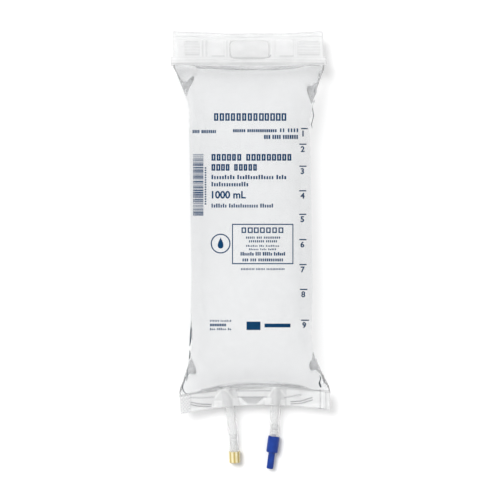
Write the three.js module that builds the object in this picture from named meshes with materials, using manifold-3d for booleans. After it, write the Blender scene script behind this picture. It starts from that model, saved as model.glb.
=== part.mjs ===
// A filled one-litre infusion bag lying on its back: a lay-flat tube of clear film, welded
// across both ends, with a hanging slot in the header and two ports in the bottom weld.
// +Y points to the header, +Z up from the table, +X to the right seen from above.
import * as THREE from "three";
import { mergeVertices } from "three/addons/utils/BufferGeometryUtils.js";
import Module from "manifold-3d";

const wasm = await Module();
wasm.setup();

// ---- driving dimensions, mm ----
const FILM = 0.4;            // one wall of film
const GAP = 0.3;             // clearance between neighbouring pieces
const LEAN = 0.0224;         // the bag bends to the right towards the ports, radians at the bottom weld
const Y_TOP = 184.7;         // header's top edge
const Y_LOW = -132.2;        // bottom weld's lower edge
const SLOT = { x: 1.1, y: 171.2, w: 34.0, h: 15.6, r: 4.2 };
const SPIGOT_R = 1.85;       // the protector's inner spigot, inside the inner tube's bore
const PORT_R = 4.15;         // outside of a port tube
const PORT_BORE = 3.3;
const MEMBRANE_R = 3.0;
const MEMBRANE_BORE = 2.2;
const WEB = 0.8;             // membrane across the inner tube
const COLS = 22;             // facets across the bag
const SIDES = 9;             // half the facets round a tube

// y at the middle, y at the fold, half width, z of the fold, z top, z under,
// then the fullness powers of the upper and of the lower side
const ROWS = [
  [-132.2, -138.2, 62.2, 16.2, 13.7, 12.7, 6, 0.5, 6, 0.5],
  [-126.0, -130.2, 62.9, 17.4, 15.8, 14.8, 6, 0.5, 6, 0.5],
  [-118.9, -121.0, 62.9, 18.2, 17.8, 16.8, 6, 0.5, 6, 0.5],
  [-116.9, -118.6, 62.3, 18.3, 21.0, 13.4, 4, 0.45, 4.6, 0.45],
  [-113.4, -115.0, 61.0, 18.7, 26.0, 7.6, 4, 0.45, 4.5, 0.5],
  [-108.8, -109.8, 59.4, 18.8, 31.4, 2.4, 4, 0.45, 4, 0.5],
  [-101.6, -101.0, 57.0, 18.9, 37.1, -0.8, 3.4, 0.5, 4.7, 0.5],
  [-89.0, -87.4, 54.4, 18.7, 40.9, -1.2, 3.6, 0.55, 5.5, 0.45],
  [-70.0, -69.4, 52.6, 18.7, 44.4, -1.2, 3.4, 0.6, 5.9, 0.45],
  [-38.0, -37.8, 51.8, 18.7, 47.6, -1.2, 2.8, 0.66, 5.9, 0.42],
  [-6.0, -6.0, 51.6, 18.7, 48.7, -1.2, 2.5, 0.7, 5.9, 0.42],
  [26.0, 26.0, 51.6, 18.7, 48.8, -1.2, 2.5, 0.7, 5.9, 0.42],
  [60.0, 60.0, 51.8, 18.7, 47.9, -1.2, 2.7, 0.68, 5.9, 0.42],
  [90.0, 89.7, 52.4, 18.7, 46.0, -1.2, 2.9, 0.66, 5.9, 0.42],
  [112.0, 111.0, 53.9, 18.7, 43.0, -1.2, 3.4, 0.6, 5.7, 0.45],
  [128.0, 126.4, 56.9, 18.6, 38.4, -0.6, 3.8, 0.58, 5.0, 0.48],
  [140.6, 139.0, 60.4, 18.5, 32.0, 2.4, 4.2, 0.5, 4.3, 0.5],
  [149.0, 148.6, 63.0, 18.5, 25.2, 8.4, 4, 0.45, 3.8, 0.45],
  [154.0, 154.4, 64.6, 18.5, 20.9, 13.6, 4, 0.42, 4, 0.42],
  [156.6, 157.6, 65.9, 18.5, 18.7, 17.3, 6, 0.5, 6, 0.5],
  [162.6, 163.8, 65.9, 17.0, 16.9, 15.5, 6, 0.5, 6, 0.5],
  [163.1, 164.3, 63.9, 16.9, 16.5, 15.7, 6, 0.5, 6, 0.5],
  [179.2, 180.8, 63.8, 12.1, 11.4, 10.6, 6, 0.5, 6, 0.5],
  [179.7, 181.3, 63.4, 12.0, 11.6, 10.2, 6, 0.5, 6, 0.5],
  [184.7, 186.7, 63.0, 10.4, 9.9, 8.5, 6, 0.5, 6, 0.5],
];

// The bag's centre line leans to the right towards the ports, and each row turns with it.
function lean(p) {
  const length = Y_TOP - Y_LOW;
  const t = Math.min(Math.max((Y_TOP - p.y) / length, 0), 1.05);
  const x = p.x;
  p.x = x + 0.5 * LEAN * length * t * t;
  p.y = p.y + x * LEAN * t;
  return p;
}

// One lofted body: a box whose upper and lower faces take the rows' profile.
// inset thins it all round, from and to choose the rows it spans.
function loft(inset, first, last) {
  const count = last - first;
  const box = new THREE.BoxGeometry(2, 2, 2, COLS, count, 1);
  const pos = box.attributes.position;
  const p = new THREE.Vector3();
  for (let i = 0; i < pos.count; i++) {
    p.fromBufferAttribute(pos, i);
    const step = Math.round((p.y + 1) * 0.5 * count);
    const [ym, ys, halfWidth, fold, top, under, pt, qt, pb, qb] = ROWS[first + step];
    const pull = inset > 0 ? (inset - FILM) * 1.4 * (step === 0 ? 1 : step === count ? -1 : 0) : 0;
    const up = p.z > 0;
    const s = Math.sin(Math.PI * 0.5 * p.x);
    const edge = inset > 0 ? 0.06 : 0.3;
    const reach = up ? top - inset - (fold + edge) : under + inset - (fold - edge);
    const full = Math.pow(Math.max(0, 1 - Math.pow(Math.abs(s), up ? pt : pb)), up ? qt : qb);
    let z = (up ? fold + edge : fold - edge) + reach * full;
    if (!up) z = Math.max(z, inset);
    p.set(s * (halfWidth - 1.4 * inset), ym + (ys - ym) * s * s + pull, z);
    lean(p);
    pos.setXYZ(i, p.x, p.y, p.z);
  }
  return box;
}

function solid(geometry) {
  const g = geometry.clone();
  for (const name of Object.keys(g.attributes)) if (name !== "position") g.deleteAttribute(name);
  const merged = mergeVertices(g, 1e-5);
  return new wasm.Manifold(new wasm.Mesh({
    numProp: 3,
    vertProperties: Float32Array.from(merged.attributes.position.array),
    triVerts: Uint32Array.from(merged.index.array),
  }));
}

function geometry(manifold) {
  const mesh = manifold.getMesh();
  const g = new THREE.BufferGeometry();
  g.setAttribute("position", new THREE.BufferAttribute(Float32Array.from(mesh.vertProperties), 3));
  g.setIndex(new THREE.BufferAttribute(Uint32Array.from(mesh.triVerts), 1));
  g.computeVertexNormals();
  return g;
}

// ---- port axes: from the chamber, down through the weld, onto the table ----
const medicationAxis = new THREE.CatmullRomCurve3([
  new THREE.Vector3(-20.4, -112.0, 17.0),
  new THREE.Vector3(-18.9, -125.8, 14.6),
  new THREE.Vector3(-16.6, -137.4, 11.6),
  new THREE.Vector3(-14.5, -156.6, 7.3),
  new THREE.Vector3(-13.5, -171.4, 5.4),
  new THREE.Vector3(-13.1, -184.0, 5.15),
]);
const administrationAxis = new THREE.CatmullRomCurve3([
  new THREE.Vector3(21.9, -111.0, 17.0),
  new THREE.Vector3(21.8, -125.8, 14.4),
  new THREE.Vector3(21.7, -138.0, 10.6),
  new THREE.Vector3(21.4, -149.4, 7.0),
  new THREE.Vector3(20.9, -157.6, 5.35),
  new THREE.Vector3(20.14, -163.4, 5.15),
  new THREE.Vector3(19.09, -171.4, 5.15),
  new THREE.Vector3(18.04, -179.4, 5.15),
]);

// A rod of round (or oval) section along part of an axis, between two values of y.
function atY(curve, y) {
  let lo = 0, hi = 1;
  for (let i = 0; i < 40; i++) {
    const mid = 0.5 * (lo + hi);
    if (curve.getPoint(mid).y > y) lo = mid; else hi = mid;
  }
  return 0.5 * (lo + hi);
}
function rod(axis, yStart, yEnd, rx, rz, steps) {
  const a = atY(axis, yStart), b = atY(axis, yEnd);
  const points = [];
  for (let i = 0; i <= steps; i++) points.push(axis.getPoint(a + (b - a) * i / steps));
  const path = new THREE.CatmullRomCurve3(points);
  const shape = new THREE.Shape();
  shape.absellipse(0, 0, rz, rx, 0, Math.PI * 2, false, 0);
  return new THREE.ExtrudeGeometry(shape, { steps, curveSegments: SIDES, bevelEnabled: false, extrudePath: path });
}
function circleRod(axis, yStart, yEnd, r, steps) {
  return rod(axis, yStart, yEnd, r, r, steps);
}

// ---- film ----
const outer = solid(loft(0, 0, ROWS.length - 1));
const cavity = solid(loft(FILM, 3, 18));
const slotShape = new THREE.Shape();
{
  const { w, h, r, y } = SLOT;
  slotShape.moveTo(-w / 2 + r, y - h / 2);
  slotShape.lineTo(w / 2 - r, y - h / 2);
  slotShape.absarc(w / 2 - r, y - h / 2 + r, r, -Math.PI / 2, 0, false);
  slotShape.lineTo(w / 2, y + h / 2 - r);
  slotShape.absarc(w / 2 - r, y + h / 2 - r, r, 0, Math.PI / 2, false);
  slotShape.lineTo(-w / 2 + r, y + h / 2);
  slotShape.absarc(-w / 2 + r, y + h / 2 - r, r, Math.PI / 2, Math.PI, false);
  slotShape.lineTo(-w / 2, y - h / 2 + r);
  slotShape.absarc(-w / 2 + r, y - h / 2 + r, r, Math.PI, Math.PI * 1.5, false);
}
const slotGeometry = new THREE.ExtrudeGeometry(slotShape, { depth: 30, curveSegments: 3, bevelEnabled: false });
slotGeometry.translate(SLOT.x, 0, 0);
const slotCut = solid(slotGeometry);
const boss = PORT_R + GAP + FILM;
const filmSolid = outer
  .add(solid(rod(medicationAxis, -114.6, -133.2, boss + 3.2, boss, 5)))
  .add(solid(rod(administrationAxis, -114.6, -133.2, boss + 3.2, boss, 5)))
  .subtract(cavity)
  .subtract(solid(circleRod(medicationAxis, -112.5, -140, PORT_R + GAP, 6)))
  .subtract(solid(circleRod(administrationAxis, -112, -140, PORT_R + GAP, 6)))
  .subtract(slotCut);

// ---- liquid ----
const liquidSolid = solid(loft(FILM + GAP, 3, 18))
  .subtract(solid(circleRod(medicationAxis, -113.2, -135, PORT_R + 2 * GAP, 5)))
  .subtract(solid(circleRod(administrationAxis, -113.2, -135, PORT_R + 2 * GAP, 5)));

// ---- ports ----
function portTube(axis, yIn, yOut, steps) {
  return solid(circleRod(axis, yIn, yOut, PORT_R, steps)).subtract(solid(circleRod(axis, yIn + 1.0, yOut - 1.5, PORT_BORE, steps)));
}
function membraneTube(axis, yIn, yOut, yWeb, steps) {
  return solid(circleRod(axis, yIn, yOut, MEMBRANE_R, steps))
    .subtract(solid(circleRod(axis, yIn + 1.0, yWeb + WEB / 2, MEMBRANE_BORE, 3)))
    .subtract(solid(circleRod(axis, yWeb - WEB / 2, yOut - 1.0, MEMBRANE_BORE, 3)));
}
const medicationTube = portTube(medicationAxis, -114.6, -177.4, 9);
const medicationMembrane = membraneTube(medicationAxis, -158.0, -176.6, -161.0, 5);
const administrationTube = portTube(administrationAxis, -114.6, -169.6, 9);
const administrationMembrane = membraneTube(administrationAxis, -149.6, -168.8, -153.0, 5);

// Injection site: a rubber cup pushed over the end of the medication tube.
// Its profile runs along +Y of its own, from the open rim at 0 to the target face.
const siteProfile = [
  [PORT_R + GAP, 0], [4.7, 0], [5.0, 0.6], [5.0, 8.6], [4.5, 9.7], [3.2, 10.0], [2.6, 9.6], [0, 9.6],
  [0, 5.6], [PORT_R + GAP, 5.6], [PORT_R + GAP, 0],
].map(([r, y]) => new THREE.Vector2(r, y));
// Pull-off protector: a sleeve over the tube's end with a domed spigot inside it and a solid
// stem to grip.
const protectorProfile = [
  [PORT_R + GAP, 0], [4.72, 0], [5.05, 1.7], [5.05, 13.0], [4.7, 13.9], [3.2, 14.2], [2.9, 15.2], [2.75, 26.0],
  [2.95, 27.2], [2.4, 28.2], [0, 28.2], [0, -2.0], [0.9, -1.8], [1.55, -1.2], [SPIGOT_R, -0.3], [SPIGOT_R, 10.6],
  [PORT_R + GAP, 10.6], [PORT_R + GAP, 0],
].map(([r, y]) => new THREE.Vector2(r, y));

// Turns a lathe's own +Y onto a direction and puts its start at a point.
function place(profile, start, direction, ribs = 0) {
  const g = new THREE.LatheGeometry(profile, ribs > 0 ? ribs * 4 : 20);
  if (ribs > 0) {
    // broad ribs: the widest rings sink between them
    const at = g.attributes.position;
    for (let i = 0; i < at.count; i++) {
      const x = at.getX(i), z = at.getZ(i);
      const r = Math.hypot(x, z);
      if (r < 4.9) continue;
      const sink = 1 - 0.22 * (0.5 - 0.5 * Math.cos(ribs * Math.atan2(x, z))) / r;
      at.setX(i, x * sink);
      at.setZ(i, z * sink);
    }
  }
  const turn = new THREE.Quaternion().setFromUnitVectors(new THREE.Vector3(0, 1, 0), direction.clone().normalize());
  g.applyQuaternion(turn);
  g.translate(start.x, start.y, start.z);
  const s = solid(g);
  return s.volume() < 0 ? null : s;
}
const siteT = atY(medicationAxis, -172.6);
const siteStart = medicationAxis.getPoint(siteT);
const siteEnd = new THREE.Vector3(-13.05, -182.6, 5.1);
const site = place(siteProfile, siteStart, siteEnd.clone().sub(siteStart), 8);
const protectorStart = new THREE.Vector3(20.64, -159.6, 5.15);
const protectorDirection = new THREE.Vector3(-1.05, -8.0, 0);
const protector = place(protectorProfile, protectorStart, protectorDirection);

// ---- scene ----
const bag = new THREE.Group();
bag.name = "infusion_bag";
bag.position.set(-0.26, 0.586, 0);   // the origin is under the middle of the whole object
const clearFilm = new THREE.MeshStandardMaterial({ color: 0xe9edef, roughness: 0.25, metalness: 0, transparent: true, opacity: 0.35 });
const clearLiquid = new THREE.MeshStandardMaterial({ color: 0xe4ecf1, roughness: 0.05, metalness: 0, transparent: true, opacity: 0.4 });
const clearTube = new THREE.MeshStandardMaterial({ color: 0xe6e7e6, roughness: 0.35, metalness: 0, transparent: true, opacity: 0.55 });
const creamRubber = new THREE.MeshStandardMaterial({ color: 0xe9cf86, roughness: 0.6, metalness: 0 });
const bluePlastic = new THREE.MeshStandardMaterial({ color: 0x1f3fae, roughness: 0.4, metalness: 0 });
function add(name, manifold, material) {
  const mesh = new THREE.Mesh(geometry(manifold), material);
  mesh.name = name;
  bag.add(mesh);
}
add("bag_film", filmSolid, clearFilm);
add("solution", liquidSolid, clearLiquid);
add("medication_port_tube", medicationTube, clearTube);
add("medication_membrane_tube", medicationMembrane, clearTube);
add("injection_site", site, creamRubber);
add("administration_port_tube", administrationTube, clearTube);
add("administration_membrane_tube", administrationMembrane, clearTube);
add("port_protector", protector, bluePlastic);

export default bag;
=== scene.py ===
"""Looks of a filled, lying infusion bag: clear lay-flat film, liquid, two ports and plain print.

The film's shape is found here: a flat tube of film, welded at both ends, is filled and laid on
the table, on three grids from coarse to fine. All of it is numpy and repeats exactly.
"""

import math

import bpy
import numpy as np
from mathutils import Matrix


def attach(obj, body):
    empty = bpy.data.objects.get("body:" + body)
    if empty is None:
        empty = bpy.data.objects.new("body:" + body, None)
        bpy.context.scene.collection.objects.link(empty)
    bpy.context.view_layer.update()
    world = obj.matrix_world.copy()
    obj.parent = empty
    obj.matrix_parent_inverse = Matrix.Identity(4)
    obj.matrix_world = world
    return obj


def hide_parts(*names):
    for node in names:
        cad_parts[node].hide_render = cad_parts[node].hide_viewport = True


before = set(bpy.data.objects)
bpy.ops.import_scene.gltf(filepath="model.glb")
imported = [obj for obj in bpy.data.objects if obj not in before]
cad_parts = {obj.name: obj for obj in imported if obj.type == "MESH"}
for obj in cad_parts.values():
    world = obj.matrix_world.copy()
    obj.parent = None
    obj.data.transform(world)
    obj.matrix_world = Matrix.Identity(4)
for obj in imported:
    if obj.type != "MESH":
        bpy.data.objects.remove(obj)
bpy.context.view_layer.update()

MM = 0.001
PX = 0.85                    # mm a pixel of the photograph covers at the height of the welds
Z_REF = 18.0                 # that height, mm
CAM_Z = 1500.0               # camera's height over the table, mm
CX, CY = -0.26, 0.586        # where the middle of the photograph meets the table, mm
S = 0.9815
FILM = 0.4                   # one wall of film, mm
LEAN = 0.0224
Y_TOP, Y_LOW = 184.7 + CY, -132.2 + CY


# ------------------------------------------------------------------ form finding
def make_sim(w, header, chamber, flange, n, volume):
    hu = w / n
    length = flange + chamber + header
    nv = int(round(length / hu))
    nv += nv % 2
    return dict(W=w, LH=header, LC=chamber, LF=flange, n=n, hu=hu, nv=nv, hv=length / nv, L=length, V0=volume)


def flat_tube(P, z0=10.0, amp=1.0):
    n, nv = P["n"], P["nv"]
    v = np.linspace(0, P["L"], nv + 1)
    X = np.zeros((nv + 1, 2 * n, 3))
    k = np.arange(2 * n)
    u = np.where(k <= n, -P["W"] / 2 + k * P["hu"], P["W"] / 2 - (k - n) * P["hu"])
    X[:, :, 0] = u[None, :]
    X[:, :, 1] = v[:, None] - P["L"] / 2
    rise = np.sin(np.pi * (u + P["W"] / 2) / P["W"])
    along = np.sin(np.pi * np.clip((v - P["LF"]) / P["LC"], 0, 1))
    side = np.where(k <= n, 1.0, -1.0)
    X[:, :, 2] = z0 + along[:, None] * rise[None, :] * side[None, :] * amp
    return X


def pull(a, b, rest, k):
    d = b - a
    length = np.sqrt((d * d).sum(-1, keepdims=True)) + 1e-12
    return (0.5 * k) * (1 - rest / length) * d


def area_vec(X):
    dk = np.roll(X, -1, 1) - np.roll(X, 1, 1)
    dv = np.empty_like(X)
    dv[1:-1] = X[2:] - X[:-2]
    dv[0] = 2 * (X[1] - X[0])
    dv[-1] = 2 * (X[-1] - X[-2])
    return np.cross(dk, dv) * 0.25


def settle(X, P, steps, ramp=0, noise=0.0, damp=0.96, kb=0.005, kap=0.3, K=0.08, rho=9.81e-6):
    """Fills the tube to its volume and lets it come to rest on the table."""
    n, nv, hu, hv = P["n"], P["nv"], P["hu"], P["hv"]
    nc = 2 * n
    v = np.linspace(0, P["L"], nv + 1)
    weld = (v <= P["LF"] + 1e-6) | (v >= P["LF"] + P["LC"] - 1e-6)
    wr = np.where(weld)[0]
    blocks = np.split(np.arange(len(wr)), np.where(np.diff(wr) > 1)[0] + 1)
    pair = (-np.arange(nc)) % nc
    dg = float(np.hypot(hu, hv))
    if noise:
        X = X + np.random.default_rng(3).normal(0, noise, X.shape)
    Xp = X.copy()
    A = hu * hv
    N = area_vec(X)
    N[weld] = 0
    v_start = (X * N).sum() / 3
    far, far_v = max(2, int(round(13.0 / hu))), max(2, int(round(11.0 / hv)))
    kbr = np.where(weld, 1.0, kb)
    kk = np.arange(nc)
    masks = {}
    for p in (0, 2):
        mid = (((kk + p) % nc).reshape(nc // 4, 4)[:, 0:2] + 1) % nc
        masks[p] = ((mid != 0) & (mid != n)).astype(float)
    ends = [np.where(v >= P["LF"] + P["LC"] - 1e-6)[0], np.where(v <= P["LF"] + 1e-6)[0]]
    uu = np.linspace(-1, 1, n + 1)[None, :]
    for s in range(steps):
        N = area_vec(X)
        N[weld] = 0
        vol = (X * N).sum() / 3.0
        aim = P["V0"] if s >= ramp else v_start + (P["V0"] - v_start) * (s / ramp)
        F = -rho * np.maximum(X[:, :, 2:3], 0) * N
        F[:, :, 2] -= 1250e-9 * 9.81 * 0.4 * A
        p0 = K * (aim - vol) / P["V0"]
        vel = (X - Xp) * damp
        Xp = X.copy()
        X = X + vel + (F + p0 * N) * kap
        for p in (0, 1):                                   # stretch round the tube
            Y = np.roll(X, -p, 1)
            a, b = Y[:, 0::2], Y[:, 1::2]
            c = pull(a, b, hu, 1.0)
            Y[:, 0::2] = a + c
            Y[:, 1::2] = b - c
            X = np.roll(Y, p, 1)
        for p in (0, 1):                                   # stretch along the tube
            m2 = (nv + 1 - p) // 2
            a, b = X[p:p + 2 * m2:2], X[p + 1:p + 2 * m2:2]
            c = pull(a, b, hv, 1.0)
            X[p:p + 2 * m2:2] = a + c
            X[p + 1:p + 2 * m2:2] = b - c
        for sign in (1, -1):                               # shear
            for p in (0, 1):
                m2 = (nv + 1 - p) // 2
                a = X[p:p + 2 * m2:2]
                b = np.roll(X[p + 1:p + 2 * m2:2], -sign, 1)
                c = pull(a, b, dg, 0.6)
                X[p:p + 2 * m2:2] = a + c
                X[p + 1:p + 2 * m2:2] = np.roll(b - c, sign, 1)
        for p in (0, 2):                                   # bending, free at the two side folds
            Y = np.roll(X, -p, 1)
            R = Y.reshape(nv + 1, nc // 4, 4, 3)
            a, b = R[:, :, 0:2], R[:, :, 2:4]
            c = pull(a, b, 2 * hu, 1.0) * masks[p][None, :, :, None] * kbr[:, None, None, None]
            R[:, :, 0:2] = a + c
            R[:, :, 2:4] = b - c
            X = np.roll(R.reshape(nv + 1, nc, 3), p, 1)
        for p in (0, 2):
            m4 = (nv + 1 - p) // 4
            R = X[p:p + 4 * m4].reshape(m4, 4, nc, 3)
            a, b = R[:, 0:2], R[:, 2:4]
            kr = kbr[p:p + 4 * m4].reshape(m4, 4)[:, 1:3]
            c = pull(a, b, 2 * hv, 1.0) * kr[:, :, None, None]
            R[:, 0:2] = a + c
            R[:, 2:4] = b - c
            X[p:p + 4 * m4] = R.reshape(4 * m4, nc, 3)
        M = 0.5 * (X[wr] + X[wr][:, pair])                 # the welds are one stiff double sheet
        G = M[:, :n + 1]
        for q in range(far):
            if (n + 1 - q) > far:
                idx = np.arange(q, n + 1 - far, 2 * far)
                a, b = G[:, idx], G[:, idx + far]
                c = pull(a, b, far * hu, 0.5)
                G[:, idx] = a + c
                G[:, idx + far] = b - c
        for rr in blocks:
            for st in (far_v, 2 * far_v):
                for q in range(0, len(rr) - st):
                    a, b = G[rr[q]], G[rr[q + st]]
                    c = pull(a, b, st * hv, 0.5)
                    G[rr[q]] = a + c
                    G[rr[q + st]] = b - c
        M[:, :n + 1] = G
        M[:, n + 1:] = G[:, pair[n + 1:]]
        X[wr] = M
        for rows in ends:                                  # and they stay straight in plan
            y = X[rows, :n + 1, 1]
            m = y.mean(1, keepdims=True)
            slope = ((y - m) * uu).sum(1, keepdims=True) / (uu * uu).sum()
            dy = (m + slope * uu - y) * 0.6
            X[rows, :n + 1, 1] += dy
            X[rows, n + 1:, 1] += dy[:, pair[n + 1:]]
        low = X[:, :, 2] < 0
        X[:, :, 2][low] = 0
        held = X[low]
        held[:, :2] = held[:, :2] * 0.9 + Xp[low][:, :2] * 0.1
        X[low] = held
    return X


def refine(X, P, n2):
    P2 = make_sim(P["W"], P["LH"], P["LC"], P["LF"], n2, P["V0"])
    nc = X.shape[1]
    k2 = np.arange(2 * n2) * (nc / (2 * n2))
    k0 = np.floor(k2).astype(int)
    f = (k2 - k0)[None, :, None]
    Y = X[:, k0 % nc] * (1 - f) + X[:, (k0 + 1) % nc] * f
    j2 = np.linspace(0, X.shape[0] - 1, P2["nv"] + 1)
    j0 = np.minimum(np.floor(j2).astype(int), X.shape[0] - 2)
    g = (j2 - j0)[:, None, None]
    return Y[j0] * (1 - g) + Y[j0 + 1] * g, P2


def smooth_step(x):
    x = np.clip(x, 0, 1)
    return x * x * (3 - 2 * x)


P = make_sim(128.0, 28.6, 288.0, 15.6, 20, 1.062e6)
X = settle(flat_tube(P), P, 3000, ramp=2200, noise=0.05)
X, P = refine(X, P, 40)
X = settle(X, P, 1000)
X, P = refine(X, P, 80)
X = settle(X, P, 420, damp=0.95)

N_U, N_V = P["n"], P["nv"]
V_ROWS = np.linspace(0, P["L"], N_V + 1)
V_A, V_B = P["LF"], P["LF"] + P["LC"]


def place(X):
    """Puts the solved bag where the frame has it: its ends, their slight bow, droop and lean."""
    X = X.copy()
    mid = N_U // 2
    y0, y1 = X[0, mid, 1], X[-1, mid, 1]
    a = (Y_TOP - Y_LOW) / (y1 - y0)
    X[:, :, 1] = (X[:, :, 1] - y0) * a + Y_LOW
    X[:, :, 0] -= 0.5 * (X[:, 0, 0] + X[:, N_U, 0]).mean()
    # both ends are set square again: the coarse grid lets them come to rest slightly turned
    y = X[:, :, 1].copy()
    for row, target, weight in ((-1, -0.004, smooth_step((y - (Y_TOP - 130)) / 120)), (0, 0.006, smooth_step(((Y_LOW + 130) - y) / 120))):
        turn = np.polyfit(X[row, :, 0], X[row, :, 1], 1)[0] - target
        X[:, :, 1] -= turn * X[:, :, 0] * weight
    s = np.clip(np.abs(X[:, :, 0]) / (P["W"] / 2), 0, 1)
    y = X[:, :, 1].copy()
    X[:, :, 1] += 2.0 * s ** 2 * smooth_step((y - (Y_TOP - 70)) / 70)
    X[:, :, 1] -= 6.0 * s ** 2 * smooth_step(((Y_LOW + 75) - y) / 75)
    # the shoulders under the header run out in a longer curve than the coarse grid finds
    full = np.where(X[:, :, 0] > 0, 5.0, -4.4) * s ** 3
    X[:, :, 0] += full * np.exp(-((y - (Y_TOP - 58)) / 15.0) ** 2)
    X[:, :, 0] -= 2.0 * np.exp(-((y + 72.0) / 32.0) ** 2)       # and the lower chamber lies a little to the left
    # the header and the bottom weld hang a little below the middle of the chamber's end
    X[:, :, 2] -= 6.0 * smooth_step((y - (Y_TOP - 36)) / 40) * 1.0
    X[:, :, 2] -= 5.5 * smooth_step(((Y_LOW + 26) - y) / 30) * 1.0
    length = Y_TOP - Y_LOW
    t = np.clip((Y_TOP - X[:, :, 1]) / length, 0, 1.05)
    x = X[:, :, 0].copy()
    X[:, :, 0] = x + 0.5 * LEAN * length * t * t + CX
    X[:, :, 1] += x * LEAN * t
    return X


X = place(X)


def puckers(X):
    """Small folds the coarse grid can't hold, running in from the side folds near the four corners."""
    fold = np.minimum(np.arange(2 * N_U) % N_U, N_U - np.arange(2 * N_U) % N_U) * P["hu"]
    right = (np.abs(np.arange(2 * N_U) - N_U) < N_U / 2)[None, :]
    v = V_ROWS[:, None]
    top, foot = V_B - v, v - V_A
    env = np.exp(-((top - 48) / np.where(right, 30.0, 20.0)) ** 2) * np.where(right, 1.0, 0.55)
    env = env + np.exp(-((foot - 46) / np.where(right, 26.0, 34.0)) ** 2) * np.where(right, 0.8, 0.75)
    env = env * smooth_step(top / 9.0) * smooth_step(foot / 9.0)
    near = np.exp(-(fold / np.where(right[0], 8.0, 6.5)) ** 2)[None, :]
    side = np.where(right, 1.7, 0.0)
    wave = (np.sin(2 * math.pi * v / 7.3 + 0.30 * fold + side) + 0.8 * np.sin(2 * math.pi * v / 10.9 - 0.22 * fold + 1.1 + 2 * side)
            + 0.6 * np.sin(2 * math.pi * v / 5.6 + 0.5 * fold + 2.3 + side) * np.sin(2 * math.pi * v / 61.0 + side))
    n = area_vec(X)
    n = n / np.maximum(np.linalg.norm(n, axis=-1, keepdims=True), 1e-9)
    return X + n * (0.42 * env * near * wave)[..., None]


def calm(X, passes=30):
    """Irons out the broad folds on the two faces; those at the side folds and the welds stay.
    Every second pass pushes back a little, so the faces keep their fullness."""
    k = np.arange(2 * N_U)
    fold = (np.minimum(k % N_U, N_U - k % N_U) * P["hu"])[None, :]
    v = V_ROWS[:, None]
    w = smooth_step((fold - 7.0) / 9.0) * smooth_step((v - V_A - 4) / 14.0) * smooth_step((V_B - 4 - v) / 14.0)
    for i in range(2 * passes):
        m = X.copy()
        m[1:-1] = 0.25 * (X[2:] + X[:-2] + np.roll(X, 1, 1)[1:-1] + np.roll(X, -1, 1)[1:-1])
        X = X + (m - X) * ((0.60 if i % 2 == 0 else -0.618) * w)[..., None]
    return X


def even_sides(X, passes=110):
    """Evens the side folds along their length, so that only small creases stay in them."""
    k = np.arange(2 * N_U)
    fold = (np.minimum(k % N_U, N_U - k % N_U) * P["hu"])[None, :]
    v = V_ROWS[:, None]
    w = (1 - smooth_step((fold - 8.0) / 16.0)) * smooth_step((v - V_A - 5) / 14.0) * smooth_step((V_B - 5 - v) / 14.0)
    for _ in range(passes):
        X = X.copy()
        X[1:-1] += (0.5 * w[1:-1])[..., None] * (0.5 * (X[2:] + X[:-2]) - X[1:-1])
    return X


X = puckers(even_sides(calm(X)))
X[:, :, 2] = np.maximum(X[:, :, 2], 0.0)
PAIR = (-np.arange(2 * N_U)) % (2 * N_U)
print("bag: width", np.ptp(X[N_V // 2, :, 0]), "top", X[:, :, 2].max(), "y", X[:, :, 1].min(), X[:, :, 1].max(),
      "weld z", X[0, N_U // 2, 2], X[-1, N_U // 2, 2])


# ------------------------------------------------------------------ port axes, as in the frame
def catmull(points, count):
    """A centripetal spline through points, resampled evenly."""
    p = np.array(points, float)
    p = np.vstack([2 * p[0] - p[1], p, 2 * p[-1] - p[-2]])
    out = []
    for i in range(1, len(p) - 2):
        t = [0.0]
        for a, b in ((p[i - 1], p[i]), (p[i], p[i + 1]), (p[i + 1], p[i + 2])):
            t.append(t[-1] + max(np.linalg.norm(b - a), 1e-6) ** 0.5)
        for x in np.linspace(t[1], t[2], 24, endpoint=False):
            a1 = (t[1] - x) / (t[1] - t[0]) * p[i - 1] + (x - t[0]) / (t[1] - t[0]) * p[i]
            a2 = (t[2] - x) / (t[2] - t[1]) * p[i] + (x - t[1]) / (t[2] - t[1]) * p[i + 1]
            a3 = (t[3] - x) / (t[3] - t[2]) * p[i + 1] + (x - t[2]) / (t[3] - t[2]) * p[i + 2]
            b1 = (t[2] - x) / (t[2] - t[0]) * a1 + (x - t[0]) / (t[2] - t[0]) * a2
            b2 = (t[3] - x) / (t[3] - t[1]) * a2 + (x - t[1]) / (t[3] - t[1]) * a3
            out.append((t[2] - x) / (t[2] - t[1]) * b1 + (x - t[1]) / (t[2] - t[1]) * b2)
    out.append(p[-2])
    out = np.array(out)
    d = np.r_[0, np.cumsum(np.linalg.norm(np.diff(out, axis=0), axis=1))]
    q = np.linspace(0, d[-1], count)
    return np.stack([np.interp(q, d, out[:, c]) for c in range(3)], 1)


SHIFT = np.array([CX, CY, 0.0])
MED_AXIS = catmull([(-20.4, -112.0, 17.0), (-18.9, -125.8, 14.6), (-16.6, -137.4, 11.6), (-14.5, -156.6, 7.3),
                    (-13.5, -171.4, 5.4), (-13.1, -184.0, 5.15)], 300) + SHIFT
ADM_AXIS = catmull([(21.9, -111.0, 17.0), (21.8, -125.8, 14.4), (21.7, -138.0, 10.6), (21.4, -149.4, 7.0),
                    (20.9, -157.6, 5.35), (20.14, -163.4, 5.15), (19.09, -171.4, 5.15), (18.04, -179.4, 5.15)],
                   300) + SHIFT
PORT_R = 4.15


def axis_part(axis, y_in, y_out, count):
    """The part of an axis between two values of y (the frame's, before the shift)."""
    y = axis[:, 1] - CY
    q = np.interp([-y_in, -y_out], -y, np.arange(len(y)))
    q = np.linspace(q[0], q[1], count)
    return np.stack([np.interp(q, np.arange(len(axis)), axis[:, c]) for c in range(3)], 1)


TENT_D = 9.5


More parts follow.
